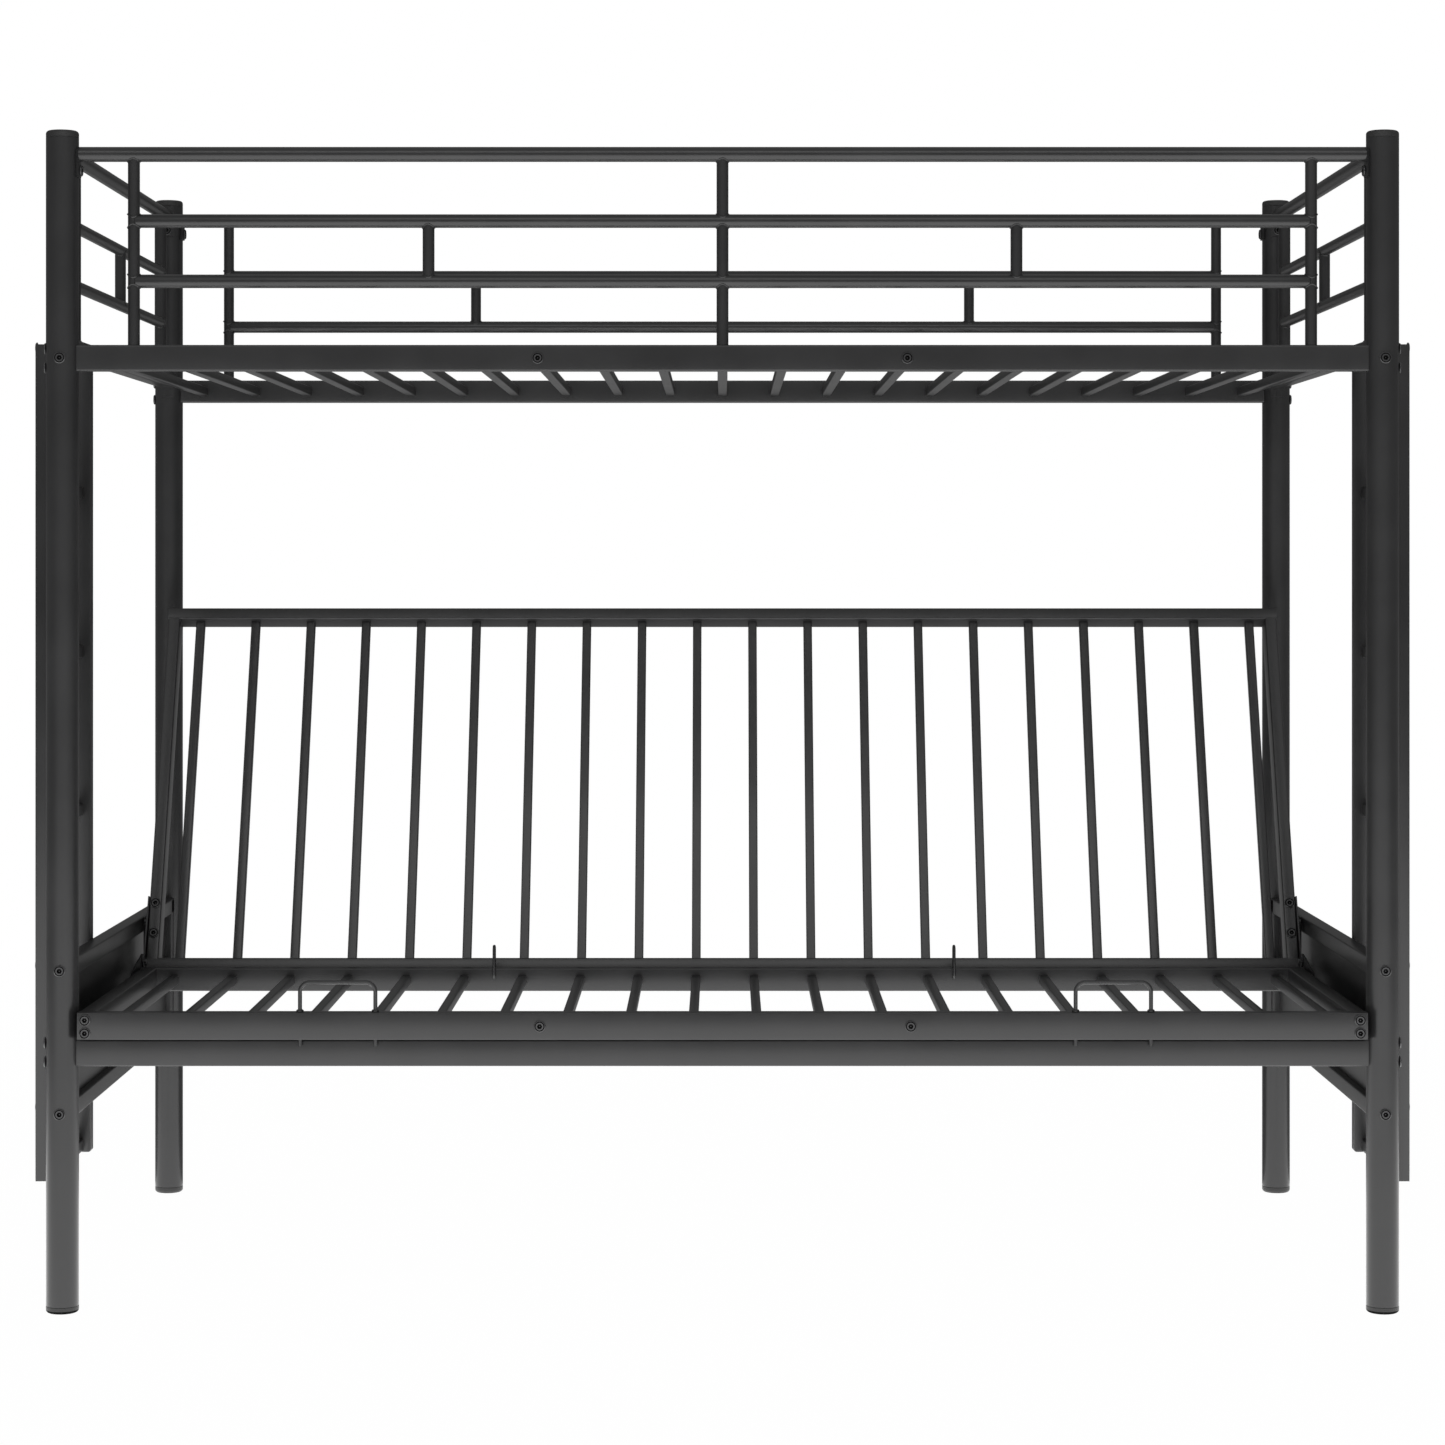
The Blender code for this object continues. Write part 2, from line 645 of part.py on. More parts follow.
def make_end_panels(steel, frame):
    """Lower end panels: a square tube frame between the posts, and a thin sheet that closes it."""
    window_y = 2 * (POST_INNER_Y - FRAME_BAR)
    window_z = PANEL_TOP - PANEL_BOTTOM - 2 * FRAME_BAR
    for side, x in SIDES:
        centre = Vector((x * HALF_X, 0.0, PANEL_MIDDLE))
        half = X_AXIS * FRAME_BAR / 2
        mesh = bmesh.new()
        outer = rectangle(2 * HALF_Y, PANEL_TOP - PANEL_BOTTOM)
        add_tube(mesh, centre - half, centre + half, outer, rectangle(window_y, window_z))
        heights = (PANEL_BOTTOM_AXIS, PANEL_TOP_AXIS)
        bolts = bmesh.new()
        for _, y in ENDS:
            for height in heights:
                add_post_bolt(bolts, Vector((x * HALF_X, y * HALF_Y, 0.0)), height, -Y_AXIS * y)
        steps = [("DIFFERENCE", post_cutters()), ("DIFFERENCE", ladder_holes(x, heights)), ("UNION", bolts)]
        make_piece("end_panel_" + side, mesh, steel, frame, steps)
        mesh = bmesh.new()
        half = X_AXIS * SHEET_THICKNESS / 2
        add_bar(mesh, centre - half, centre + half, rectangle(window_y - 2 * FIT, window_z - 2 * FIT))
        make_piece("end_panel_sheet_" + side, mesh, steel, frame)


def stile_outline(side):
    """A ladder stile seen along the bed's depth: its lower outer corner is round."""
    inner = LADDER_INNER_X
    outer = inner + LADDER_STILE_WIDTH
    points = [(inner, LADDER_TOP), (inner, LADDER_BOTTOM)]
    for i in range(LADDER_CORNER_STEPS + 1):
        angle = math.pi / 2 * i / LADDER_CORNER_STEPS
        x = outer - LADDER_CORNER * (1 - math.sin(angle))
        points.append((x, LADDER_BOTTOM + LADDER_CORNER * (1 - math.cos(angle))))
    points.append((outer, LADDER_TOP))
    return [(-side * x, z) for x, z in points]


def make_ladders(steel, frame):
    """A ladder on each end of the bed: two flat stiles and five rungs welded between them."""
    front, rear = LADDER_STILES
    for side, x in SIDES:
        stiles = bmesh.new()
        half = Y_AXIS * LADDER_STILE_DEPTH / 2
        for y in LADDER_STILES:
            add_bar(stiles, Y_AXIS * y - half, Y_AXIS * y + half, stile_outline(x))
        rungs = bmesh.new()
        place = x * (LADDER_INNER_X + RUNG_SETBACK + RUNG_DEPTH / 2)
        for height in RUNG_HEIGHTS:
            start = Vector((place, front, height))
            add_bar(rungs, start, Vector((place, rear, height)), rectangle(RUNG_DEPTH, RUNG_HEIGHT))
        length = FRAME_BAR + LADDER_TO_FRAME + LADDER_SCREW_REACH
        for y in LADDER_STILES:
            for height in (PANEL_BOTTOM_AXIS, PANEL_TOP_AXIS, END_RAIL_AXIS):
                add_bolt(rungs, Vector((x * (PANEL_INNER_X - FIT), y, height)), X_AXIS * x, length)
        make_piece("ladder_" + side, stiles, steel, frame, [("UNION", rungs)])


def make_back_stops(steel, frame):
    """Short upright channels on the end panels, on which the pegs of the raised back lean."""
    outer_x = PANEL_INNER_X - FIT
    width = outer_x - BACK_STOP_INNER
    outer = rectangle(width, BACK_STOP_DEPTH)
    inner = rectangle(width - 2 * BACK_STOP_WALL, BACK_STOP_DEPTH - 2 * BACK_STOP_WALL)
    for side, x in SIDES:
        place = Vector((x * (BACK_STOP_INNER + width / 2), BACK_STOP_FRONT + BACK_STOP_DEPTH / 2, 0.0))
        mesh = bmesh.new()
        add_tube(mesh, place + Z_AXIS * BACK_STOP_BOTTOM, place + Z_AXIS * PANEL_TOP, outer, inner)
        make_piece("back_stop_" + side, mesh, steel, frame)


def make_runners(steel, frame):
    """Angle runners between the uprights of the end panels: the seat slides on their shelves."""
    outer = PANEL_INNER_X - FIT
    web = outer - RUNNER_THICKNESS
    shelf = outer - RUNNER_SHELF
    under = RUNNER_TOP - RUNNER_THICKNESS
    low = RUNNER_TOP - RUNNER_LEG
    upper = [(outer, RUNNER_TOP), (shelf, RUNNER_TOP)]
    outline = [(outer, low), *upper, (shelf, under), (web, under), (web, low)]
    reach = Y_AXIS * RUNNER_HALF_LENGTH
    for side, x in SIDES:
        mesh = bmesh.new()
        add_bar(mesh, -reach, reach, [(-x * a, b) for a, b in outline])
        make_piece("seat_runner_" + side, mesh, steel, frame)


def make_bolt(name, seat, direction, length, bolts, group):
    mesh = bmesh.new()
    add_bolt(mesh, seat, direction, length)
    make_piece(name, mesh, bolts, group)


def make_deck_bolts(bolts, frame):
    for end, y in ENDS:
        for (side, _), x in zip(SIDES, middle_bolt_x(0.0)):
            seat = Vector((x, y * (HALF_Y + RAIL_THICKNESS / 2 + FIT), UPPER_RAIL_AXIS))
            make_bolt(f"deck_bolt_{end}_{side}", seat, -Y_AXIS * y, MIDDLE_BOLT_LENGTH, bolts, frame)


def seat_screw_places():
    """Names and places of the screws in the seat's front rail: two at each corner, two near the middle."""
    for side, x in SIDES:
        for level, drop in zip(("upper", "lower"), SEAT_CORNER_SCREW_DROPS):
            place = Vector((x * (SEAT_HALF_WIDTH - SEAT_CORNER_SCREW_INSET), 0.0, SEAT_TOP - drop))
            yield f"seat_screw_{side}_{level}", place
    for (side, _), x in zip(SIDES, middle_bolt_x(FUTON_SLAT_SHIFT)):
        yield "seat_middle_bolt_" + side, Vector((x, 0.0, SEAT_RAIL_AXIS_Z))


def seat_front_holes():
    """Screw holes from the front, and upright holes for the wire mattress stops."""
    mesh = bmesh.new()
    section = circle(HOLE_RADIUS, BOLT_SIDES)
    start = Y_AXIS * (SEAT_FRONT - OVERRUN)
    end = Y_AXIS * (SEAT_RAIL_REAR + BOLT_GRIP + OVERRUN)
    for _, place in seat_screw_places():
        add_bar(mesh, place + start, place + end, section)
    section = circle(STOP_HOLE_DIAMETER / 2, BOLT_SIDES)
    for centre in STOP_CENTRES:
        for half in (-STOP_WIDTH / 2, STOP_WIDTH / 2):
            foot = Vector((centre + half, SEAT_RAIL_AXIS_Y, 0.0))
            low = foot + Z_AXIS * (SEAT_BOTTOM - OVERRUN)
            add_bar(mesh, low, foot + Z_AXIS * (SEAT_TOP + OVERRUN), section)
    return mesh


def ring_holes():
    mesh = bmesh.new()
    section = circle(RING_HOLE_DIAMETER / 2, BOLT_SIDES)
    for x in RING_CENTRES:
        place = Vector((x, SEAT_REAR_BAR_FRONT - OVERRUN, RING_LOW))
        add_bar(mesh, place, place + Y_AXIS * (RING_END_IN_BAR + 2 * OVERRUN), section)
        place = Vector((x, RING_REAR, SEAT_TOP + OVERRUN))
        add_bar(mesh, place, place - Z_AXIS * (RING_END_IN_BAR + 2 * OVERRUN), section)
    return mesh


def make_seat_frame(steel, seat):
    """The front rail is screwed on; the rear bar, side bars and slats are one welded grid."""
    reach = X_AXIS * SEAT_HALF_WIDTH
    rail = bmesh.new()
    place = Vector((0.0, SEAT_RAIL_AXIS_Y, SEAT_RAIL_AXIS_Z))
    add_bar(rail, place - reach, place + reach, rectangle(SEAT_RAIL_THICKNESS, SEAT_RAIL_HEIGHT))
    make_piece("seat_front_rail", rail, steel, seat, [("DIFFERENCE", seat_front_holes())])
    bar = bmesh.new()
    place = Vector((0.0, SEAT_BAR_AXIS_Y, SEAT_BAR_AXIS_Z))
    add_bar(bar, place - reach, place + reach, rectangle(SEAT_REAR_BAR_THICKNESS, SEAT_REAR_BAR_HEIGHT))
    welded = bmesh.new()
    front = SEAT_RAIL_REAR + FIT
    for _, x in SIDES:
        low = (SEAT_HALF_WIDTH - SEAT_SIDE_WIDTH, front, SEAT_BOTTOM)
        mirrored_box(welded, x, low, (SEAT_HALF_WIDTH - FIT, SEAT_BAR_AXIS_Y, SEAT_TOP - FIT))
    height = SEAT_SLAT_TOP - SEAT_SLAT_WIDTH / 2
    for x in slat_places(FUTON_SLAT_COUNT, FUTON_SLAT_PITCH, FUTON_SLAT_SHIFT):
        start = Vector((x, front, height))
        end = Vector((x, SEAT_REAR_BAR_FRONT + OVERRUN, height))
        add_bar(welded, start, end, rectangle(SEAT_SLAT_WIDTH, SEAT_SLAT_WIDTH))
    steps = [("UNION", welded), ("DIFFERENCE", seat_front_holes()), ("DIFFERENCE", ring_holes())]
    make_piece("seat_grid", bar, steel, seat, steps)


def make_glides(plastic, seat):
    top = SEAT_BOTTOM - FIT
    outer = SEAT_HALF_WIDTH - FIT
    for side, x in SIDES:
        for (end, _), y in zip(ENDS, GLIDE_PLACES):
            mesh = bmesh.new()
            low = (outer - GLIDE_WIDTH, y - GLIDE_LENGTH / 2, top - GLIDE_HEIGHT)
            mirrored_box(mesh, x, low, (outer, y + GLIDE_LENGTH / 2, top))
            make_piece(f"seat_glide_{end}_{side}", mesh, plastic, seat)


def bend(centre, first, second, radius, start, end):
    """Points of a bend in a wire, in the plane of two directions, between two angles in quarter turns."""
    points = []
    for i in range(WIRE_TURN_STEPS + 1):
        angle = math.pi / 2 * (start + (end - start) * i / WIRE_TURN_STEPS)
        points.append(centre + first * radius * math.cos(angle) + second * radius * math.sin(angle))
    return points


def make_mattress_stops(steel, seat):
    """Wire hoops that stand through the front rail, with a small collar on each leg."""
    half = STOP_WIDTH / 2
    side = half - STOP_CORNER
    turn = STOP_TOP - STOP_CORNER
    foot = SEAT_BOTTOM - STOP_BELOW_RAIL
    for (name, _), x in zip(SIDES, STOP_CENTRES):
        place = Vector((x, SEAT_RAIL_AXIS_Y, 0.0))
        points = [place - X_AXIS * half + Z_AXIS * foot]
        points += bend(place - X_AXIS * side + Z_AXIS * turn, X_AXIS, Z_AXIS, STOP_CORNER, 2, 1)
        points += bend(place + X_AXIS * side + Z_AXIS * turn, X_AXIS, Z_AXIS, STOP_CORNER, 1, 0)
        points.append(place + X_AXIS * half + Z_AXIS * foot)
        wire = bmesh.new()
        add_wire(wire, points, Y_AXIS, STOP_WIRE_DIAMETER)
        collars = bmesh.new()
        for leg in (-half, half):
            low = place + X_AXIS * leg + Z_AXIS * (SEAT_TOP + FIT)
            section = circle(STOP_COLLAR_DIAMETER / 2, TUBE_SIDES)
            add_bar(collars, low, low + Z_AXIS * STOP_COLLAR_HEIGHT, section)
        make_piece("mattress_stop_" + name, wire, steel, seat, [("UNION", collars)])


def make_pull_rings(steel, seat):
    """Wire loops hooked into a hole in the front and one in the top of the rear bar."""
    radius = (RING_REAR - RING_FRONT) / 2
    for (name, _), x in zip(SIDES, RING_CENTRES):
        place = X_AXIS * x
        points = [Vector((x, SEAT_REAR_BAR_FRONT + RING_END_IN_BAR, RING_LOW))]
        low = place + Y_AXIS * (RING_FRONT + RING_CORNER) + Z_AXIS * (RING_LOW + RING_CORNER)
        points += bend(low, Y_AXIS, Z_AXIS, RING_CORNER, 3, 2)
        high = place + Y_AXIS * (RING_FRONT + radius) + Z_AXIS * (RING_TOP - radius)
        points += bend(high, Y_AXIS, Z_AXIS, radius, 2, 1)
        points += bend(high, Y_AXIS, Z_AXIS, radius, 1, 0)[1:]
        points.append(Vector((x, RING_REAR, SEAT_TOP - RING_END_IN_BAR)))
        wire = bmesh.new()
        add_wire(wire, points, X_AXIS, RING_WIRE_DIAMETER)
        make_piece("pull_ring_" + name, wire, steel, seat)


def make_seat_screws(bolts, seat):
    for name, place in seat_screw_places():
        face = place + Y_AXIS * (SEAT_FRONT - FIT)
        make_bolt(name, face, Y_AXIS, SEAT_RAIL_THICKNESS + BOLT_GRIP, bolts, seat)


def on_back(x, up, out):
    """A point of the back: up along it from its lower end, and out from its front face to the rear."""
    return Vector((x, BACK_LOW_FRONT_Y, BACK_LOW_FRONT_Z)) + BACK_UP * up + BACK_OUT * out


def leaned(section):
    """A section of the back's level rails: its first size is along the depth of the back."""
    return [(BACK_OUT.y * out + BACK_UP.y * up, BACK_OUT.z * out + BACK_UP.z * up) for out, up in section]


def back_bolt_holes(side):
    mesh = bmesh.new()
    section = circle(HOLE_RADIUS, BOLT_SIDES)
    x = side * (BACK_HALF_WIDTH - BACK_TUBE_WIDTH / 2)
    for up in BACK_BOLT_PLACES:
        add_bar(mesh, on_back(x, up, -OVERRUN), on_back(x, up, BACK_BOLT_LENGTH + OVERRUN), section)
    return mesh


def make_back_frame(steel, back):
    """Top and bottom rails with the side tubes and slats welded between them."""
    middle = BACK_FRAME_DEPTH / 2
    half_rail = BACK_TUBE_WIDTH / 2
    high = BACK_LENGTH - half_rail
    rail = leaned(rectangle(BACK_FRAME_DEPTH, BACK_TUBE_WIDTH))
    rails = bmesh.new()
    for up in (half_rail, high):
        add_bar(rails, on_back(-BACK_HALF_WIDTH, up, middle), on_back(BACK_HALF_WIDTH, up, middle), rail)
    welded = bmesh.new()
    section = rectangle(BACK_TUBE_WIDTH, BACK_FRAME_DEPTH - 2 * FIT)
    steps = [("UNION", welded)]
    for _, x in SIDES:
        place = x * (BACK_HALF_WIDTH - half_rail - FIT)
        add_bar(welded, on_back(place, half_rail, middle), on_back(place, high, middle), section)
        steps.append(("DIFFERENCE", back_bolt_holes(x)))
    out = BACK_SLAT_RECESS + BACK_SLAT_WIDTH / 2
    section = rectangle(BACK_SLAT_WIDTH, BACK_SLAT_WIDTH)
    for x in slat_places(FUTON_SLAT_COUNT, FUTON_SLAT_PITCH, FUTON_SLAT_SHIFT):
        add_bar(welded, on_back(x, half_rail, out), on_back(x, high, out), section)
    make_piece("back_grid", rails, steel, back, steps)


def make_back_bolts(bolts, back):
    for side, x in SIDES:
        place = x * (BACK_HALF_WIDTH - BACK_TUBE_WIDTH / 2)
        for level, up in zip(("lower", "upper"), BACK_BOLT_PLACES):
            seat = on_back(place, up, 0.0)
            make_bolt(f"back_bolt_{side}_{level}", seat, BACK_OUT, BACK_BOLT_LENGTH, bolts, back)


def eye(up, start, end):
    """Points round the pivot between two angles in quarter turns, from +Y towards the given direction."""
    level = Y_AXIS if up is Z_AXIS else BACK_OUT
    centre = Vector((0.0, PIVOT_Y, PIVOT_Z))
    points = []
    for i in range(HINGE_EYE_STEPS + 1):
        angle = math.pi / 2 * (start + (end - start) * i / HINGE_EYE_STEPS)
        radius = HINGE_EYE_RADIUS
        points.append(centre + level * radius * math.cos(angle) + up * radius * math.sin(angle))
    return points


def pivot_hole(side):
    mesh = bmesh.new()
    pivot = Vector((0.0, PIVOT_Y, PIVOT_Z))
    inner = X_AXIS * side * (HINGE_PLATE_INNER - OVERRUN)
    outer = X_AXIS * side * (EAR_OUTER + OVERRUN)
    add_bar(mesh, pivot + inner, pivot + outer, circle(HINGE_PIN_DIAMETER / 2, HINGE_PIN_SIDES))
    return mesh


def add_flat(mesh, side, near, far, points):
    """A flat plate on one side of the bed, from a closed outline of points in the plane across the bed."""
    outline = [(point.y, point.z) for point in points]
    add_bar(mesh, X_AXIS * min(side * near, side * far), X_AXIS * max(side * near, side * far), outline)


def make_hinge_plates(steel, back):
    """Plates on the outer sides of the back's tubes, each with an eye for the pin and a peg for the stop."""
    edge = HINGE_PLATE_LENGTH
    for side, x in SIDES:
        points = [on_back(0.0, edge, 0.0), on_back(0.0, edge, HINGE_PLATE_DEPTH)]
        points.append(on_back(0.0, HINGE_PLATE_THICKNESS, HINGE_PLATE_DEPTH))
        points += eye(BACK_UP, -1, -3)
        mesh = bmesh.new()
        add_flat(mesh, x, HINGE_PLATE_INNER, HINGE_PLATE_OUTER, points)
        peg = bmesh.new()
        centre = Vector((0.0, BACK_STOP_FRONT - PEG_DIAMETER / 2 - FIT, PEG_HEIGHT))
        inner = X_AXIS * x * (HINGE_PLATE_INNER + HINGE_PLATE_THICKNESS / 2)
        add_bar(peg, centre + inner, centre + X_AXIS * x * PEG_END, circle(PEG_DIAMETER / 2, TUBE_SIDES))
        steps = [("UNION", peg), ("DIFFERENCE", pivot_hole(x))]
        make_piece("back_hinge_plate_" + side, mesh, steel, back, steps)


def make_hinge_ears(steel, bolts, seat):
    """Ears outside the hinge plates, each held off the seat's side bar by a spacer, and the hinge pins."""
    for side, x in SIDES:
        points = [Vector((0.0, EAR_FRONT, EAR_BOTTOM)), Vector((0.0, EAR_SPACER_REAR, EAR_BOTTOM))]
        points += eye(Z_AXIS, -1, 1)
        points.append(Vector((0.0, EAR_FRONT, SEAT_TOP)))
        mesh = bmesh.new()
        add_flat(mesh, x, EAR_INNER, EAR_OUTER, points)
        spacer = bmesh.new()
        low = (SEAT_HALF_WIDTH + FIT, EAR_FRONT + OVERRUN, EAR_BOTTOM + OVERRUN)
        high = (EAR_INNER + HINGE_PLATE_THICKNESS / 2, EAR_SPACER_REAR, EAR_SPACER_TOP)
        mirrored_box(spacer, x, low, high)
        steps = [("UNION", spacer), ("DIFFERENCE", pivot_hole(x))]
        make_piece("seat_hinge_ear_" + side, mesh, steel, seat, steps)
        pin = bmesh.new()
        head = HINGE_PIN_HEAD_DIAMETER / 2
        shank = HINGE_PIN_DIAMETER / 2 - HINGE_PIN_CLEARANCE
        face = EAR_OUTER + FIT
        length = face - HINGE_PLATE_INNER + HINGE_PIN_END
        profile = [(head, -HINGE_PIN_HEAD_HEIGHT), (head, 0.0), (shank, 0.0), (shank, length)]
        place = Vector((x * face, PIVOT_Y, PIVOT_Z))
        add_turned(pin, place, -X_AXIS * x, profile, HINGE_PIN_SIDES)
        make_piece("hinge_pin_" + side, pin, bolts, seat)


def build_bed():
    clear_scene()
    steel = make_finish("satin_black_steel", STEEL_FINISH)
    plastic = make_finish("black_plastic", PLASTIC_FINISH)
    bolts = make_finish("dark_bolt_steel", BOLT_FINISH)
    frame = make_group("bed_frame", Vector((0.0, 0.0, 0.0)))
    seat = make_group("seat_group", Vector((0.0, SEAT_FRONT, SEAT_TOP)), frame)
    back = make_group("back_group", Vector((0.0, PIVOT_Y, PIVOT_Z)), seat)
    make_posts(steel, frame)
    make_caps(plastic, frame)
    make_side_rails(steel, frame)
    make_side_guards(steel, frame)
    make_end_guards(steel, frame)
    make_end_panels(steel, frame)
    make_ladders(steel, frame)
    make_back_stops(steel, frame)
    make_runners(steel, frame)
    make_deck_bolts(bolts, frame)
    make_seat_frame(steel, seat)
    make_glides(plastic, seat)
    make_mattress_stops(steel, seat)
    make_pull_rings(steel, seat)
    make_seat_screws(bolts, seat)
    make_back_frame(steel, back)
    make_back_bolts(bolts, back)
    make_hinge_plates(steel, back)
    make_hinge_ears(steel, bolts, seat)


build_bed()
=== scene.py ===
"""Twin-over-futon bunk bed in satin black powder-coated steel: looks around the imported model."""
import math

import bmesh
import bpy
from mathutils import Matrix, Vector


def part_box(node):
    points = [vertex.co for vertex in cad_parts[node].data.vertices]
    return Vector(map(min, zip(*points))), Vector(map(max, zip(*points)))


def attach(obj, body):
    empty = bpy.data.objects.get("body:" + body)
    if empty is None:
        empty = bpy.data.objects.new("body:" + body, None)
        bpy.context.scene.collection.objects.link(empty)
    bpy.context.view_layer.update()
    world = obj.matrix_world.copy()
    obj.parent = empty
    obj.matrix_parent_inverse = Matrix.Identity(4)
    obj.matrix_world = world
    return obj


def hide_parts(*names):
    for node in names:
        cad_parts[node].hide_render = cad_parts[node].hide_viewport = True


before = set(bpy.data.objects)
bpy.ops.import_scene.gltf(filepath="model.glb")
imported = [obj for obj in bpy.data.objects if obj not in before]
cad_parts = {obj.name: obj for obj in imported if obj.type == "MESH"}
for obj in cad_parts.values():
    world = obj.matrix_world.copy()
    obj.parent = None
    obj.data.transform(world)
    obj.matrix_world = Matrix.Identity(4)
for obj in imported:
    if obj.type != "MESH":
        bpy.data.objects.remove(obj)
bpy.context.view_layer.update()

# Posts: four upright tubes of drawn steel, powder coated in satin black like the rest of the bed.
# Rails and guards are bolted to them from outside, and plastic caps close both of their ends.
POST_RADIUS = 0.024
POST_WALL = 0.0015
POST_X = 0.970
POST_Y = 0.501
POST_LOW = 0.0103
POST_HIGH = 1.7252
POST_SEGMENTS = 72
MIDDLE_Y = (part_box("post_front_left")[0].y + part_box("post_rear_left")[1].y) / 2
SHARP_ANGLE = math.radians(35)
SIDES = (("left", -1), ("right", 1))
ENDS = (("front", -1), ("rear", 1))
X_AXIS = Vector((1, 0, 0))
Y_AXIS = Vector((0, 1, 0))
Z_AXIS = Vector((0, 0, 1))
COAT_COLOUR = (0.0140, 0.0140, 0.0144)
COAT_ROUGHNESS = (0.26, 0.36)
PEEL_SCALE = 650
PEEL_DEPTH = 0.00012
PEEL_DETAIL = 2
PEEL_STRENGTH = 0.35
CLOUD_SCALE = 9
CLOUD_DETAIL = 5
CLOUD_RANGE = (0.30, 0.75)
FLECK = 0.35


def at(x, y, z):
    """A point of the bed, with the depth counted from the middle of its posts."""
    return Vector((x, MIDDLE_Y + y, z))


def coated(name, colour, roughness, grain, depth):
    """A baked or moulded skin: fine grain in the surface, uneven gloss and faint pale dust."""
    material = bpy.data.materials.new(name)
    material.use_nodes = True
    nodes, links = material.node_tree.nodes, material.node_tree.links
    shader = nodes["Principled BSDF"]
    place = nodes.new("ShaderNodeTexCoord")
    cloud = nodes.new("ShaderNodeTexNoise")
    cloud.inputs["Scale"].default_value = CLOUD_SCALE
    cloud.inputs["Detail"].default_value = CLOUD_DETAIL
    tint = nodes.new("ShaderNodeValToRGB")
    factors = (1 - FLECK / 2, 1 + FLECK)
    for stop, where, factor in zip(tint.color_ramp.elements, CLOUD_RANGE, factors):
        stop.position = where
        stop.color = (*[c * factor for c in colour], 1)
    gloss = nodes.new("ShaderNodeMapRange")
    gloss.inputs["To Min"].default_value = roughness[0]
    gloss.inputs["To Max"].default_value = roughness[1]
    peel = nodes.new("ShaderNodeTexNoise")
    peel.inputs["Scale"].default_value = grain
    peel.inputs["Detail"].default_value = PEEL_DETAIL
    bump = nodes.new("ShaderNodeBump")
    bump.inputs["Strength"].default_value = PEEL_STRENGTH
    bump.inputs["Distance"].default_value = depth
    links.new(place.outputs["Object"], cloud.inputs["Vector"])
    links.new(place.outputs["Object"], peel.inputs["Vector"])
    links.new(cloud.outputs["Fac"], tint.inputs["Fac"])
    links.new(cloud.outputs["Fac"], gloss.inputs["Value"])
    links.new(peel.outputs["Fac"], bump.inputs["Height"])
    links.new(tint.outputs["Color"], shader.inputs["Base Color"])
    links.new(gloss.outputs["Result"], shader.inputs["Roughness"])
    links.new(bump.outputs["Normal"], shader.inputs["Normal"])
    return material


def round_section(radius, segments):
    """The outline of a round tube or wire."""
    turn = 2 * math.pi / segments
    return [(radius * math.cos(turn * i), radius * math.sin(turn * i)) for i in range(segments)]


def ring(mesh, centre, side, up, section):
    """The points of a section, laid around a centre."""
    return [mesh.verts.new(centre + side * a + up * b) for a, b in section]


def skin(mesh, first, second):
    """Faces between two rings of as many points."""
    for i in range(len(first)):
        j = (i + 1) % len(first)
        mesh.faces.new((first[i], first[j], second[j], second[i]))


def close(mesh, points):
    """A fan that closes a ring."""
    middle = mesh.verts.new(sum((p.co for p in points), Vector()) / len(points))
    for i in range(len(points)):
        mesh.faces.new((points[i], points[(i + 1) % len(points)], middle))


def capped(mesh, rings):
    """The skin over a row of rings, closed at its first and last one."""
    for one, two in zip(rings, rings[1:]):
        skin(mesh, one, two)
    close(mesh, rings[0])
    close(mesh, rings[-1])


def carried(piece, body, nodes):
    """A piece made smooth over its curves, on its body and in place of its solids."""
    piece.data.shade_smooth()
    piece.data.set_sharp_from_angle(angle=SHARP_ANGLE)
    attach(piece, body)
    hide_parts(*nodes)


def outwards(mesh, data):
    """Mesh data from a working mesh, with all of its faces turned outwards."""
    bmesh.ops.recalc_face_normals(mesh, faces=mesh.faces)
    mesh.to_mesh(data)
    mesh.free()


def finished(name, mesh, material, body, nodes):
    """A piece of one material from its working mesh."""
    data = bpy.data.meshes.new(name)
    outwards(mesh, data)
    data.materials.append(material)
    piece = bpy.data.objects.new(name, data)
    bpy.context.scene.collection.objects.link(piece)
    carried(piece, body, nodes)


steel_coat = coated("satin_black_powder_coat", COAT_COLOUR, COAT_ROUGHNESS, PEEL_SCALE, PEEL_DEPTH)
for end, y in ENDS:
    for side, x in SIDES:
        post = bmesh.new()
        outer = round_section(POST_RADIUS, POST_SEGMENTS)
        inner = round_section(POST_RADIUS - POST_WALL, POST_SEGMENTS)
        walls = ((POST_LOW, outer), (POST_HIGH, outer), (POST_HIGH, inner), (POST_LOW, inner))
        rings = [ring(post, at(x * POST_X, y * POST_Y, height), X_AXIS, Y_AXIS, section)
                 for height, section in walls]
        for i in range(len(rings)):
            skin(post, rings[i], rings[(i + 1) % len(rings)])
        finished(f"post_tube_{end}_{side}", post, steel_coat, "frame",
                 [f"post_{end}_{side}"])

# Caps: moulded black plastic plugs in both ends of each post, with a soft round crown and a thin
# step where the crown meets the tube. The lower ones are the feet of the bed.
CAP_HEIGHT = 0.010
CAP_ROUND = 0.005
CAP_STEP = 0.0004
CAP_SPIGOT = 0.018
CAP_TURNS = 10
BED_HEIGHT = 1.7355
plastic = coated("matte_black_plastic", colour=(0.0130, 0.0130, 0.0130), roughness=(0.46, 0.58),
                 grain=1100, depth=0.00008)


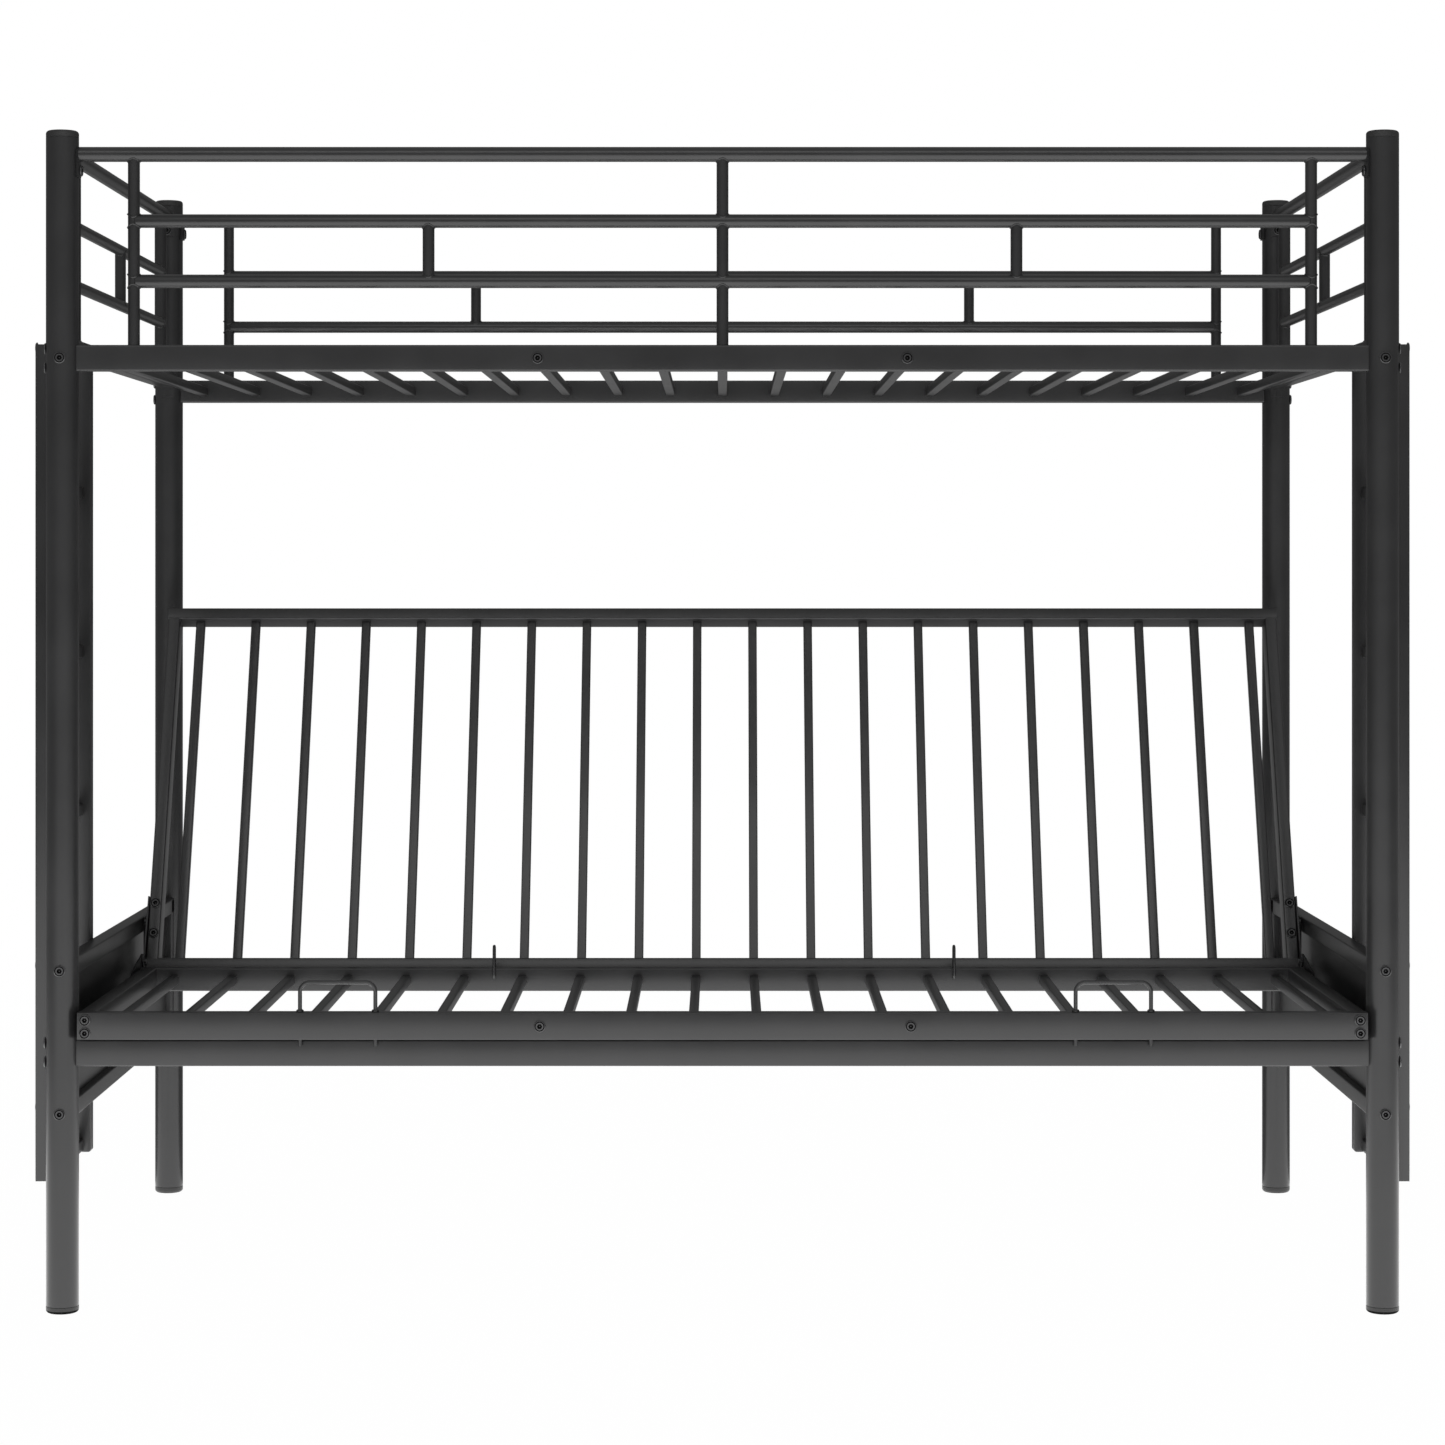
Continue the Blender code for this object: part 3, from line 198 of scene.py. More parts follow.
def turned(mesh, centre, direction, profile, segments):
    """A turned solid: a radius and a distance along the axis for each ring, closed at both ends."""
    side = direction.orthogonal().normalized()
    up = direction.cross(side)
    rings = [ring(mesh, centre + direction * far, side, up, round_section(radius, segments))
             for radius, far in profile]
    capped(mesh, rings)


cap_profile = []
for i in range(CAP_TURNS + 1):
    angle = math.pi / 2 * i / CAP_TURNS
    cap_profile.append((POST_RADIUS - CAP_ROUND * (1 - math.sin(angle)),
                        CAP_ROUND * (1 - math.cos(angle))))
cap_profile += [(POST_RADIUS, CAP_HEIGHT - CAP_STEP), (POST_RADIUS - CAP_STEP, CAP_HEIGHT),
                (POST_RADIUS - POST_WALL - CAP_STEP, CAP_HEIGHT),
                (POST_RADIUS - POST_WALL - CAP_STEP, CAP_HEIGHT + CAP_SPIGOT)]
for end, y in ENDS:
    for side, x in SIDES:
        foot = bmesh.new()
        turned(foot, at(x * POST_X, y * POST_Y, 0), Z_AXIS, cap_profile, POST_SEGMENTS)
        finished(f"foot_plug_{end}_{side}", foot, plastic, "frame",
                 [f"foot_cap_{end}_{side}"])
        top = bmesh.new()
        turned(top, at(x * POST_X, y * POST_Y, BED_HEIGHT), -Z_AXIS, cap_profile, POST_SEGMENTS)
        finished(f"top_plug_{end}_{side}", top, plastic, "frame",
                 [f"top_cap_{end}_{side}"])

# Side rails: rectangular tube with drawn corners, one pair under the upper mattress and one pair
# just below the seat. Their ends are coped to the posts and held by two bolts each.
RAIL_THICKNESS = 0.020
RAIL_HEIGHT = 0.0386
RAIL_CORNER = 0.0026
CORNER_STEPS = 4
COPE_GAP = 0.0002
UPPER_RAIL_AXIS = 1.4013
LOWER_RAIL_AXIS = 0.3815


def tube_section(width, height, corner):
    """The outline of a rectangular tube with round corners."""
    points = []
    for quarter, (a, b) in enumerate(((1, 1), (-1, 1), (-1, -1), (1, -1))):
        for i in range(CORNER_STEPS + 1):
            angle = math.pi / 2 * (quarter + i / CORNER_STEPS)
            points.append((a * (width / 2 - corner) + corner * math.cos(angle),
                           b * (height / 2 - corner) + corner * math.sin(angle)))
    return points


def bar(mesh, start, end, section, coped=(False, False)):
    """A straight bar; a coped end stops on the round wall of the post whose axis it points at."""
    along = (end - start).normalized()
    side = X_AXIS if abs(along.x) < 0.5 else Y_AXIS
    up = along.cross(side).normalized()
    rings = []
    for point, inwards, is_coped in ((start, along, coped[0]), (end, -along, coped[1])):
        made = ring(mesh, point, side, up, section)
        if is_coped:
            wall = POST_RADIUS + COPE_GAP
            for vertex, (a, _) in zip(made, section):
                vertex.co += inwards * math.sqrt(max(wall * wall - a * a, 0))
        rings.append(made)
    capped(mesh, rings)


rail_section = [(b, a) for a, b in tube_section(RAIL_HEIGHT, RAIL_THICKNESS, RAIL_CORNER)]
upper_rails = bmesh.new()
for end, y in ENDS:
    lower_rail = bmesh.new()
    for rail, axis in ((upper_rails, UPPER_RAIL_AXIS), (lower_rail, LOWER_RAIL_AXIS)):
        bar(rail, at(-POST_X, y * POST_Y, axis), at(POST_X, y * POST_Y, axis),
            rail_section, (True, True))
    finished("lower_rail_tube_" + end, lower_rail, steel_coat, "frame",
             ["lower_side_rail_" + end])
finished("upper_rail_tubes", upper_rails, steel_coat, "frame", ["upper_deck"])

# Slats of the upper deck: square tubes across the bed, welded between the two side rails at an
# even pitch. The slats of the seat and of the back are made by the same tree further down.
SLAT_WIDTH = 0.015
SLAT_CORNER = 0.0016
SLAT_PITCH = 0.0908
SLAT_COUNT = 21
SLAT_CORNER_CUTS = 3


def slat_tree():
    """Geometry Nodes: one square tube between two points, repeated along the bed."""
    tree = bpy.data.node_groups.new("slats_along_the_bed", "GeometryNodeTree")
    face = tree.interface
    ids = {}
    for name, kind in (("Count", "Int"), ("Pitch", "Float"), ("First", "Vector"),
                       ("Reach", "Vector"), ("Width", "Float"), ("Corner", "Float"),
                       ("Finish", "Material")):
        socket = face.new_socket(name=name, in_out="INPUT", socket_type="NodeSocket" + kind)
        ids[name] = socket.identifier
    face.new_socket(name="Geometry", in_out="OUTPUT", socket_type="NodeSocketGeometry")
    nodes, links = tree.nodes, tree.links
    given = nodes.new("NodeGroupInput")
    made = nodes.new("NodeGroupOutput")
    step = nodes.new("ShaderNodeCombineXYZ")
    row = nodes.new("GeometryNodeMeshLine")
    length = nodes.new("GeometryNodeCurvePrimitiveLine")
    outline = nodes.new("GeometryNodeCurvePrimitiveQuadrilateral")
    corners = nodes.new("GeometryNodeFilletCurve")
    corners.mode = "POLY"
    corners.inputs["Count"].default_value = SLAT_CORNER_CUTS
    swept = nodes.new("GeometryNodeCurveToMesh")
    swept.inputs["Fill Caps"].default_value = True
    placed = nodes.new("GeometryNodeInstanceOnPoints")
    real = nodes.new("GeometryNodeRealizeInstances")
    finish = nodes.new("GeometryNodeSetMaterial")
    links.new(given.outputs["Pitch"], step.inputs["X"])
    links.new(given.outputs["Count"], row.inputs["Count"])
    links.new(given.outputs["First"], row.inputs["Start Location"])
    links.new(step.outputs["Vector"], row.inputs["Offset"])
    links.new(given.outputs["Reach"], length.inputs["End"])
    links.new(given.outputs["Width"], outline.inputs["Width"])
    links.new(given.outputs["Width"], outline.inputs["Height"])
    links.new(outline.outputs["Curve"], corners.inputs["Curve"])
    links.new(given.outputs["Corner"], corners.inputs["Radius"])
    links.new(length.outputs["Curve"], swept.inputs["Curve"])
    links.new(corners.outputs["Curve"], swept.inputs["Profile Curve"])
    links.new(row.outputs["Mesh"], placed.inputs["Points"])
    links.new(swept.outputs["Mesh"], placed.inputs["Instance"])
    links.new(placed.outputs["Instances"], real.inputs["Geometry"])
    links.new(real.outputs["Geometry"], finish.inputs["Geometry"])
    links.new(given.outputs["Finish"], finish.inputs["Material"])
    links.new(finish.outputs["Geometry"], made.inputs["Geometry"])
    return tree, ids


def grown(name, seed, tree, ids, values):
    """An object from a seed mesh and a tree with named inputs, turned into a plain mesh."""
    piece = bpy.data.objects.new(name, seed)
    bpy.context.scene.collection.objects.link(piece)
    grow = piece.modifiers.new("grow", "NODES")
    grow.node_group = tree
    for key, value in values.items():
        grow[ids[key]] = value
    bpy.context.view_layer.update()
    shape = piece.evaluated_get(bpy.context.evaluated_depsgraph_get())
    data = bpy.data.meshes.new_from_object(shape)
    piece.modifiers.remove(grow)
    piece.data = data
    return piece


def slatted(name, count, pitch, width, first, reach, body, nodes):
    """A row of slats, the first of them from one point over the whole reach."""
    piece = grown(name, bpy.data.meshes.new(name + "_seed"), slats, slat_ids,
                  {"Count": count, "Pitch": pitch, "Width": width, "Corner": SLAT_CORNER,
                   "Finish": steel_coat, "First": first, "Reach": reach})
    mesh = bmesh.new()
    mesh.from_mesh(piece.data)
    outwards(mesh, piece.data)
    carried(piece, body, nodes)


slats, slat_ids = slat_tree()
reach = POST_Y - RAIL_THICKNESS / 2 + RAIL_CORNER
first = at(-SLAT_PITCH * (SLAT_COUNT - 1) / 2, -reach, UPPER_RAIL_AXIS)
slatted("deck_slats", SLAT_COUNT, SLAT_PITCH, SLAT_WIDTH, first, Y_AXIS * 2 * reach,
        "frame", ["upper_deck"])

# Guardrails along the front and the rear: a top tube coped to the posts, two lower tubes, three
# long uprights on the side rail and two short ones, with a bead of weld where tubes meet.
TOP_RADIUS = 0.011
TUBE_RADIUS = 0.010
UPRIGHT_RADIUS = 0.00875
TUBE_SEGMENTS = 40
SIDE_TOP = 1.701
SIDE_MIDDLE = 1.603
SIDE_LOW = 1.5145
SIDE_END_UPRIGHT = 0.865
SIDE_SHORT_UPRIGHT = 0.432
RAIL_TOP = 1.4206
TUBE_DOME = 0.004
DOME_STEPS = 5
DOME_TIP = 0.1
BEAD_RADIUS = 0.0014
BEAD_STEPS = 40
BEAD_SIDES = 8
BEAD_RIPPLES = 10
BEAD_RIPPLE = 0.12
TAB_THICKNESS = 0.003
TAB_WIDTH = 0.023
TAB_BEND_STEPS = 16
SIDE_TAB_HEIGHTS = (1.667, 1.708)


def domed(mesh, start, end, radius):
    """A tube whose two ends are closed by low domes."""
    direction = (end - start).normalized()
    length = (end - start).length
    profile = []
    for i in range(DOME_STEPS + 1):
        angle = math.pi / 2 * i / DOME_STEPS
        profile.append((radius * max(math.sin(angle), DOME_TIP), TUBE_DOME * (1 - math.cos(angle))))
    profile += [(r, length - far) for r, far in reversed(profile)]
    turned(mesh, start, direction, profile, TUBE_SEGMENTS)


def bead(mesh, centre, along, up, radius, seat):
    """A rippled bead where a tube of this radius stands on one of the seat's radius."""
    across = up.cross(along)
    rings = []
    for i in range(BEAD_STEPS):
        angle = 2 * math.pi * i / BEAD_STEPS
        out = along * math.cos(angle) + across * math.sin(angle)
        rise = math.sqrt(max(seat * seat - (radius * math.sin(angle)) ** 2, 0))
        size = BEAD_RADIUS * (1 + BEAD_RIPPLE * math.sin(BEAD_RIPPLES * angle))
        rings.append(ring(mesh, centre + out * radius + up * rise, out, up,
                          round_section(size, BEAD_SIDES)))
    for i in range(BEAD_STEPS):
        skin(mesh, rings[i], rings[(i + 1) % BEAD_STEPS])


def saddle_tab(mesh, axis, inwards, low, high):
    """A thin curved tab that hugs the post: it stands upright on the side that faces the bed."""
    half = math.asin(TAB_WIDTH / 2 / POST_RADIUS)
    across = Z_AXIS.cross(inwards)
    rings = []
    for i in range(TAB_BEND_STEPS + 1):
        angle = half * (2 * i / TAB_BEND_STEPS - 1)
        out = inwards * math.cos(angle) + across * math.sin(angle)
        near = axis + out * (POST_RADIUS + COPE_GAP)
        far = near + out * TAB_THICKNESS
        corners = ((near, low), (far, low), (far, high), (near, high))
        rings.append([mesh.verts.new(point + Z_AXIS * height) for point, height in corners])
    for first, second in zip(rings, rings[1:]):
        skin(mesh, first, second)
    mesh.faces.new(rings[0])
    mesh.faces.new(list(reversed(rings[-1])))


top_section = round_section(TOP_RADIUS, TUBE_SEGMENTS)
upright_section = round_section(UPRIGHT_RADIUS, TUBE_SEGMENTS)
for end, y in ENDS:
    guard = bmesh.new()
    depth = y * POST_Y
    bar(guard, at(-POST_X, depth, SIDE_TOP), at(POST_X, depth, SIDE_TOP), top_section, (True, True))
    for height in (SIDE_MIDDLE, SIDE_LOW):
        domed(guard, at(-SIDE_END_UPRIGHT, depth, height), at(SIDE_END_UPRIGHT, depth, height),
              TUBE_RADIUS)
    for x in (-SIDE_END_UPRIGHT, 0, SIDE_END_UPRIGHT):
        bar(guard, at(x, depth, RAIL_TOP), at(x, depth, SIDE_TOP), upright_section)
        bead(guard, at(x, depth, SIDE_TOP), X_AXIS, -Z_AXIS, UPRIGHT_RADIUS, TOP_RADIUS)
        for height in (SIDE_MIDDLE, SIDE_LOW):
            for up in (-Z_AXIS, Z_AXIS):
                bead(guard, at(x, depth, height), X_AXIS, up, UPRIGHT_RADIUS, TUBE_RADIUS)
    for x in (-SIDE_SHORT_UPRIGHT, SIDE_SHORT_UPRIGHT):
        bar(guard, at(x, depth, SIDE_LOW), at(x, depth, SIDE_MIDDLE), upright_section)
        bead(guard, at(x, depth, SIDE_LOW), X_AXIS, Z_AXIS, UPRIGHT_RADIUS, TUBE_RADIUS)
        bead(guard, at(x, depth, SIDE_MIDDLE), X_AXIS, -Z_AXIS, UPRIGHT_RADIUS, TUBE_RADIUS)
    for _, x in SIDES:
        saddle_tab(guard, at(x * POST_X, depth, 0), -X_AXIS * x, *SIDE_TAB_HEIGHTS)
    finished("guardrail_tubes_" + end, guard, steel_coat, "frame", ["guardrail_" + end])

# End guards: a top tube, two slimmer tubes and three uprights on a square bottom rail, which is
# held to the posts by a tab below each of its ends.
END_TOP = 1.7067
END_MIDDLE = 1.604
END_LOW = 1.5155
END_UPRIGHT = 0.4065
END_RAIL_AXIS = 1.4195
FRAME_BAR = 0.025
FRAME_CORNER = 0.0022
END_TAB_HEIGHTS = (1.672, 1.7147)
END_TAB_BOTTOM = 1.391
frame_section = tube_section(FRAME_BAR, FRAME_BAR, FRAME_CORNER)
end_upright_section = round_section(TUBE_RADIUS, TUBE_SEGMENTS)
for side, x in SIDES:
    guard = bmesh.new()
    across = x * POST_X
    for height, tube in ((END_TOP, top_section), (END_RAIL_AXIS, frame_section)):
        bar(guard, at(across, -POST_Y, height), at(across, POST_Y, height), tube, (True, True))
    for height in (END_MIDDLE, END_LOW):
        bar(guard, at(across, -END_UPRIGHT, height), at(across, END_UPRIGHT, height),
            upright_section)
        for _, y in ENDS:
            bead(guard, at(across, y * END_UPRIGHT, height), Z_AXIS, -Y_AXIS * y,
                 UPRIGHT_RADIUS, TUBE_RADIUS)
    for _, y in ENDS:
        depth = y * END_UPRIGHT
        bar(guard, at(across, depth, END_RAIL_AXIS), at(across, depth, END_TOP),
            end_upright_section)
        bead(guard, at(across, depth, END_TOP), Y_AXIS, -Z_AXIS, TUBE_RADIUS, TOP_RADIUS)
        bead(guard, at(across, depth, END_RAIL_AXIS + FRAME_BAR / 2), Y_AXIS, Z_AXIS,
             TUBE_RADIUS, 0)
        for low, high in (END_TAB_HEIGHTS, (END_TAB_BOTTOM, END_RAIL_AXIS)):
            saddle_tab(guard, at(across, y * POST_Y, 0), -Y_AXIS * y, low, high)
    bar(guard, at(across, 0, END_LOW), at(across, 0, END_MIDDLE), upright_section)
    bead(guard, at(across, 0, END_LOW), Y_AXIS, Z_AXIS, UPRIGHT_RADIUS, UPRIGHT_RADIUS)
    bead(guard, at(across, 0, END_MIDDLE), Y_AXIS, -Z_AXIS, UPRIGHT_RADIUS, UPRIGHT_RADIUS)
    finished("end_guard_tubes_" + side, guard, steel_coat, "frame", ["end_guard_" + side])

# Lower end panels: a square tube frame between the posts, closed by a thin steel sheet that is
# welded inside it. The frame carries the seat's runners and the ladder's bolts.
PANEL_TOP = 0.5159
PANEL_BOTTOM = 0.281
POST_FACE_Y = POST_Y - POST_RADIUS
for side, x in SIDES:
    panel = bmesh.new()
    across = x * POST_X
    for height in (PANEL_TOP - FRAME_BAR / 2, PANEL_BOTTOM + FRAME_BAR / 2):
        bar(panel, at(across, -POST_Y, height), at(across, POST_Y, height),
            frame_section, (True, True))
    for _, y in ENDS:
        depth = y * (POST_FACE_Y - FRAME_BAR / 2)
        bar(panel, at(across, depth, PANEL_BOTTOM + FRAME_CORNER),
            at(across, depth, PANEL_TOP - FRAME_CORNER), frame_section)
    finished("end_panel_tubes_" + side, panel, steel_coat, "frame", ["end_panel_" + side])

# Ladders: each has two flat stiles, whose inner lower corner is round, and five rungs of small
# rectangular tube welded between them. They are bolted to the outside of the end frames.
LADDER_INNER = 0.9829
STILE_WIDTH = 0.036
STILE_DEPTH = 0.020
STILES = (-0.446, -0.183)
LADDER_TOP = 1.425
LADDER_BOTTOM = 0.1835
LADDER_CORNER = 0.005
LADDER_STEPS = 10
STILE_EDGE = 0.0018
EDGE_SHOULDER = 0.3
RUNG_HEIGHTS = (0.1942, 0.4555, 0.7169, 0.9628, 1.210)
RUNG_MIDDLE = 0.0225
RUNG_WIDTH = 0.020
RUNG_HEIGHT = 0.0185
RUNG_CORNER = 0.0022
rung_section = tube_section(RUNG_WIDTH, RUNG_HEIGHT, RUNG_CORNER)


def edged(outline, depth, edge):
    """The rings of a flat piece: its outline from the front, drawn in where the edges soften."""
    centre = sum((Vector((a, 0, b)) for a, b in outline), Vector()) / len(outline)
    rings = []
    steps = [(0, edge), (edge * EDGE_SHOULDER, edge * EDGE_SHOULDER), (edge, 0)]
    levels = [(-depth / 2 + far, inset) for far, inset in steps]
    levels += [(depth / 2 - far, inset) for far, inset in reversed(steps)]
    for level, inset in levels:
        points = []
        for a, b in outline:
            out = Vector((a, 0, b)) - centre
            points.append((a - math.copysign(min(inset, abs(out.x)), out.x),
                           b - math.copysign(min(inset, abs(out.z)), out.z), level))
        rings.append(points)
    return rings


for side, x in SIDES:
    ladder = bmesh.new()
    inner, outer = LADDER_INNER, LADDER_INNER + STILE_WIDTH
    outline = [(inner, LADDER_TOP)]
    for i in range(LADDER_STEPS + 1):
        angle = math.pi / 2 * i / LADDER_STEPS
        outline.append((inner + LADDER_CORNER * (1 - math.cos(angle)),
                        LADDER_BOTTOM + LADDER_CORNER * (1 - math.sin(angle))))
    outline += [(outer, LADDER_BOTTOM), (outer, LADDER_TOP)]
    for y in STILES:
        rings = [[ladder.verts.new(at(x * a, y + level, b)) for a, b, level in points]
                 for points in edged(outline, STILE_DEPTH, STILE_EDGE)]
        for first, second in zip(rings, rings[1:]):
            skin(ladder, first, second)
        ladder.faces.new(list(reversed(rings[0])))
        ladder.faces.new(rings[-1])
    for height in RUNG_HEIGHTS:
        place = x * (LADDER_INNER + RUNG_MIDDLE)
        bar(ladder, at(place, STILES[0] + STILE_EDGE, height),
            at(place, STILES[1] - STILE_EDGE, height), rung_section)
    finished("ladder_frame_" + side, ladder, steel_coat, "frame", ["ladder_" + side])

# Seat of the futon: a rectangular front rail, and behind it a welded grid of a rear bar, two side
# bars and slats. It slides forward on the runners, so it rides on its own body.
SEAT_FRONT = -0.531
SEAT_TOP = 0.4434
SEAT_HALF_WIDTH = 0.9433
SEAT_RAIL_THICKNESS = 0.0225
SEAT_RAIL_HEIGHT = 0.040
SEAT_SIDE_WIDTH = 0.025
REAR_BAR_AXIS = (0.050, 0.42475)
REAR_BAR_SIZE = (0.020, 0.0373)
FUTON_SLATS = 20
FUTON_PITCH = 0.09407
FUTON_SHIFT = 0.004
SEAT_SLAT_WIDTH = 0.0142
SEAT_SLAT_TOP = 0.4314
front_rail = bmesh.new()
rail_y = SEAT_FRONT + SEAT_RAIL_THICKNESS / 2
rail_z = SEAT_TOP - SEAT_RAIL_HEIGHT / 2
section = [(b, a) for a, b in tube_section(SEAT_RAIL_HEIGHT, SEAT_RAIL_THICKNESS, RAIL_CORNER)]
bar(front_rail, at(-SEAT_HALF_WIDTH, rail_y, rail_z), at(SEAT_HALF_WIDTH, rail_y, rail_z), section)
finished("seat_front_tube", front_rail, steel_coat, "seat", ["seat_front_rail"])
seat_bars = bmesh.new()
section = [(b, a) for a, b in tube_section(REAR_BAR_SIZE[1], REAR_BAR_SIZE[0], RAIL_CORNER)]
bar(seat_bars, at(-SEAT_HALF_WIDTH, *REAR_BAR_AXIS), at(SEAT_HALF_WIDTH, *REAR_BAR_AXIS),
    section)
side_section = tube_section(SEAT_SIDE_WIDTH, SEAT_RAIL_HEIGHT - 2 * COPE_GAP, RAIL_CORNER)
seat_back_of_rail = SEAT_FRONT + SEAT_RAIL_THICKNESS + COPE_GAP
for _, x in SIDES:
    place = x * (SEAT_HALF_WIDTH - SEAT_SIDE_WIDTH / 2)
    bar(seat_bars, at(place, seat_back_of_rail, rail_z), at(place, REAR_BAR_AXIS[0], rail_z),
        side_section)
finished("seat_grid_bars", seat_bars, steel_coat, "seat", ["seat_grid"])
futon_start = FUTON_SHIFT - FUTON_PITCH * (FUTON_SLATS - 1) / 2
first = at(futon_start, seat_back_of_rail, SEAT_SLAT_TOP - SEAT_SLAT_WIDTH / 2)
slatted("seat_slats", FUTON_SLATS, FUTON_PITCH, SEAT_SLAT_WIDTH, first,
        Y_AXIS * (REAR_BAR_AXIS[0] - seat_back_of_rail), "seat", ["seat_grid"])

# Back of the futon: top and bottom rails, two side tubes and slats set back behind the front
# face. It leans to the rear in the sofa position and reclines about the hinge pins.
BACK_LEAN = math.radians(23)
BACK_LOW_FRONT = at(0, 0.077, 0.4374)
BACK_UP = Vector((0, math.sin(BACK_LEAN), math.cos(BACK_LEAN)))
BACK_OUT = Vector((0, math.cos(BACK_LEAN), -math.sin(BACK_LEAN)))
BACK_LENGTH = 0.638
BACK_DEPTH = 0.040
BACK_TUBE = 0.020
BACK_HALF_WIDTH = 0.943
BACK_SLAT_WIDTH = 0.0145
BACK_SLAT_RECESS = 0.0125


def on_back(x, up, out):
    """A point of the back, counted up along it and out to its rear."""
    return BACK_LOW_FRONT + X_AXIS * x + BACK_UP * up + BACK_OUT * out


def leaned_bar(mesh, start, end, section, side, up):
    """A bar whose section is turned with the back."""
    capped(mesh, [ring(mesh, point, side, up, section) for point in (start, end)])


back_bars = bmesh.new()
level_section = tube_section(BACK_DEPTH, BACK_TUBE, RAIL_CORNER)
upright_tube = tube_section(BACK_TUBE, BACK_DEPTH - 2 * COPE_GAP, RAIL_CORNER)
low, high = BACK_TUBE / 2, BACK_LENGTH - BACK_TUBE / 2
for up in (low, high):
    leaned_bar(back_bars, on_back(-BACK_HALF_WIDTH, up, BACK_DEPTH / 2),
               on_back(BACK_HALF_WIDTH, up, BACK_DEPTH / 2), level_section, BACK_OUT, BACK_UP)
for _, x in SIDES:
    place = x * (BACK_HALF_WIDTH - BACK_TUBE / 2 - COPE_GAP)
    leaned_bar(back_bars, on_back(place, low, BACK_DEPTH / 2),
               on_back(place, high, BACK_DEPTH / 2), upright_tube, X_AXIS, BACK_OUT)
finished("back_grid_bars", back_bars, steel_coat, "back", ["back_grid"])
first = on_back(futon_start, low, BACK_SLAT_RECESS + BACK_SLAT_WIDTH / 2)
slatted("back_slats", FUTON_SLATS, FUTON_PITCH, BACK_SLAT_WIDTH, first, BACK_UP * (high - low),
        "back", ["back_grid"])

# Wire parts of the seat: two hoops that stand through the front rail, in welded collars, and keep
# the mattress back, and two pull rings hooked into the rear bar. All are of coated round wire.
STOP_WIRE = 0.003
STOP_HALF = 0.0552
STOP_CENTRES = (-0.5635, 0.5723)
STOP_TOP = 0.4864
STOP_FOOT = 0.3934
STOP_CORNER = 0.014
RING_WIRE = 0.00235
RING_CENTRES = (-0.3705, 0.3757)
RING_TOP = 0.4788
RING_LOW = 0.4269
RING_FRONT = 0.0358
RING_REAR = 0.0510
RING_CORNER = 0.006
RING_HOOK = 0.004
RING_SUNK = 0.006
COLLAR_PROFILE = ((0.0055, 0), (0.0055, 0.0018), (0.0045, 0.003), (0.0031, 0.003))
WIRE_SIDES = 16
WIRE_TURN = 12


def turn_of(centre, first, second, radius, start, end):
    """Points of a bend between two angles in quarter turns."""
    points = []
    for i in range(WIRE_TURN + 1):
        angle = math.pi / 2 * (start + (end - start) * i / WIRE_TURN)
        points.append(centre + first * radius * math.cos(angle)
                      + second * radius * math.sin(angle))
    return points


def wire(mesh, points, normal, radius):
    """Round wire along a flat path."""
    rings = []
    for i, point in enumerate(points):
        along = (points[min(i + 1, len(points) - 1)] - points[max(i - 1, 0)]).normalized()
        rings.append(ring(mesh, point, normal, along.cross(normal),
                          round_section(radius, WIRE_SIDES)))
    capped(mesh, rings)


for (side, _), x in zip(SIDES, STOP_CENTRES):
    hoop = bmesh.new()
    turn = STOP_TOP - STOP_CORNER
    points = [at(x - STOP_HALF, rail_y, STOP_FOOT)]
    for way, start in ((-1, 2), (1, 1)):
        bend = at(x + way * (STOP_HALF - STOP_CORNER), rail_y, turn)
        points += turn_of(bend, X_AXIS, Z_AXIS, STOP_CORNER, start, start - 1)
    points.append(at(x + STOP_HALF, rail_y, STOP_FOOT))
    wire(hoop, points, Y_AXIS, STOP_WIRE)
    for leg in (-STOP_HALF, STOP_HALF):
        turned(hoop, at(x + leg, rail_y, SEAT_TOP + COPE_GAP), Z_AXIS, COLLAR_PROFILE,
               TUBE_SEGMENTS)
    finished("mattress_hoop_" + side, hoop, steel_coat, "seat", ["mattress_stop_" + side])
for (side, _), x in zip(SIDES, RING_CENTRES):
    loop = bmesh.new()
    radius = (RING_REAR - RING_FRONT) / 2
    corner = at(x, RING_FRONT + RING_CORNER, RING_LOW + RING_CORNER)
    crown = at(x, RING_FRONT + radius, RING_TOP - radius)
    points = [at(x, REAR_BAR_AXIS[0] - RING_HOOK, RING_LOW)]
    points += turn_of(corner, Y_AXIS, Z_AXIS, RING_CORNER, 3, 2)
    points += turn_of(crown, Y_AXIS, Z_AXIS, radius, 2, 1)
    points += turn_of(crown, Y_AXIS, Z_AXIS, radius, 1, 0)[1:]
    points.append(at(x, RING_REAR, SEAT_TOP - RING_SUNK))
    wire(loop, points, X_AXIS, RING_WIRE)
    finished("pull_loop_" + side, loop, steel_coat, "seat", ["pull_ring_" + side])

# Bolts: flat round heads of dark steel with a ring groove and a hexagon socket. The groove and the
# socket take a near-black colour with hardly any shine: painted shade in the recesses. One head is
# made, and a tree sets a copy on each point of a body, turned to the way that the point names.
# The heads of the ladders are sunk and show as flush screws on the outside of the stiles.
HEAD_RADIUS = 0.0085
HEAD_HEIGHT = 0.0023
HEAD_EDGE = 0.0011
GROOVE_OUTER = 0.0072
GROOVE_INNER = 0.0057
GROOVE_DEPTH = 0.0005
SOCKET_FLAT = 0.0034
SOCKET_DEPTH = 0.0022
DRILL_MARK = 0.0008
HEAD_SEGMENTS = 36
END_BOLT_HEIGHTS = (PANEL_BOTTOM + FRAME_BAR / 2, PANEL_TOP - FRAME_BAR / 2, 1.401)
RAIL_BOLT_HALF = 0.014
SIDE_TAB_BOLT = 1.677
END_TAB_BOLT = 1.682
MIDDLE_BOLT = 0.2712
LADDER_HEAD_PROUD = 0.0006
CORNER_SCREW_DROPS = (0.0112, 0.0303)
CORNER_SCREW_IN = 0.0112
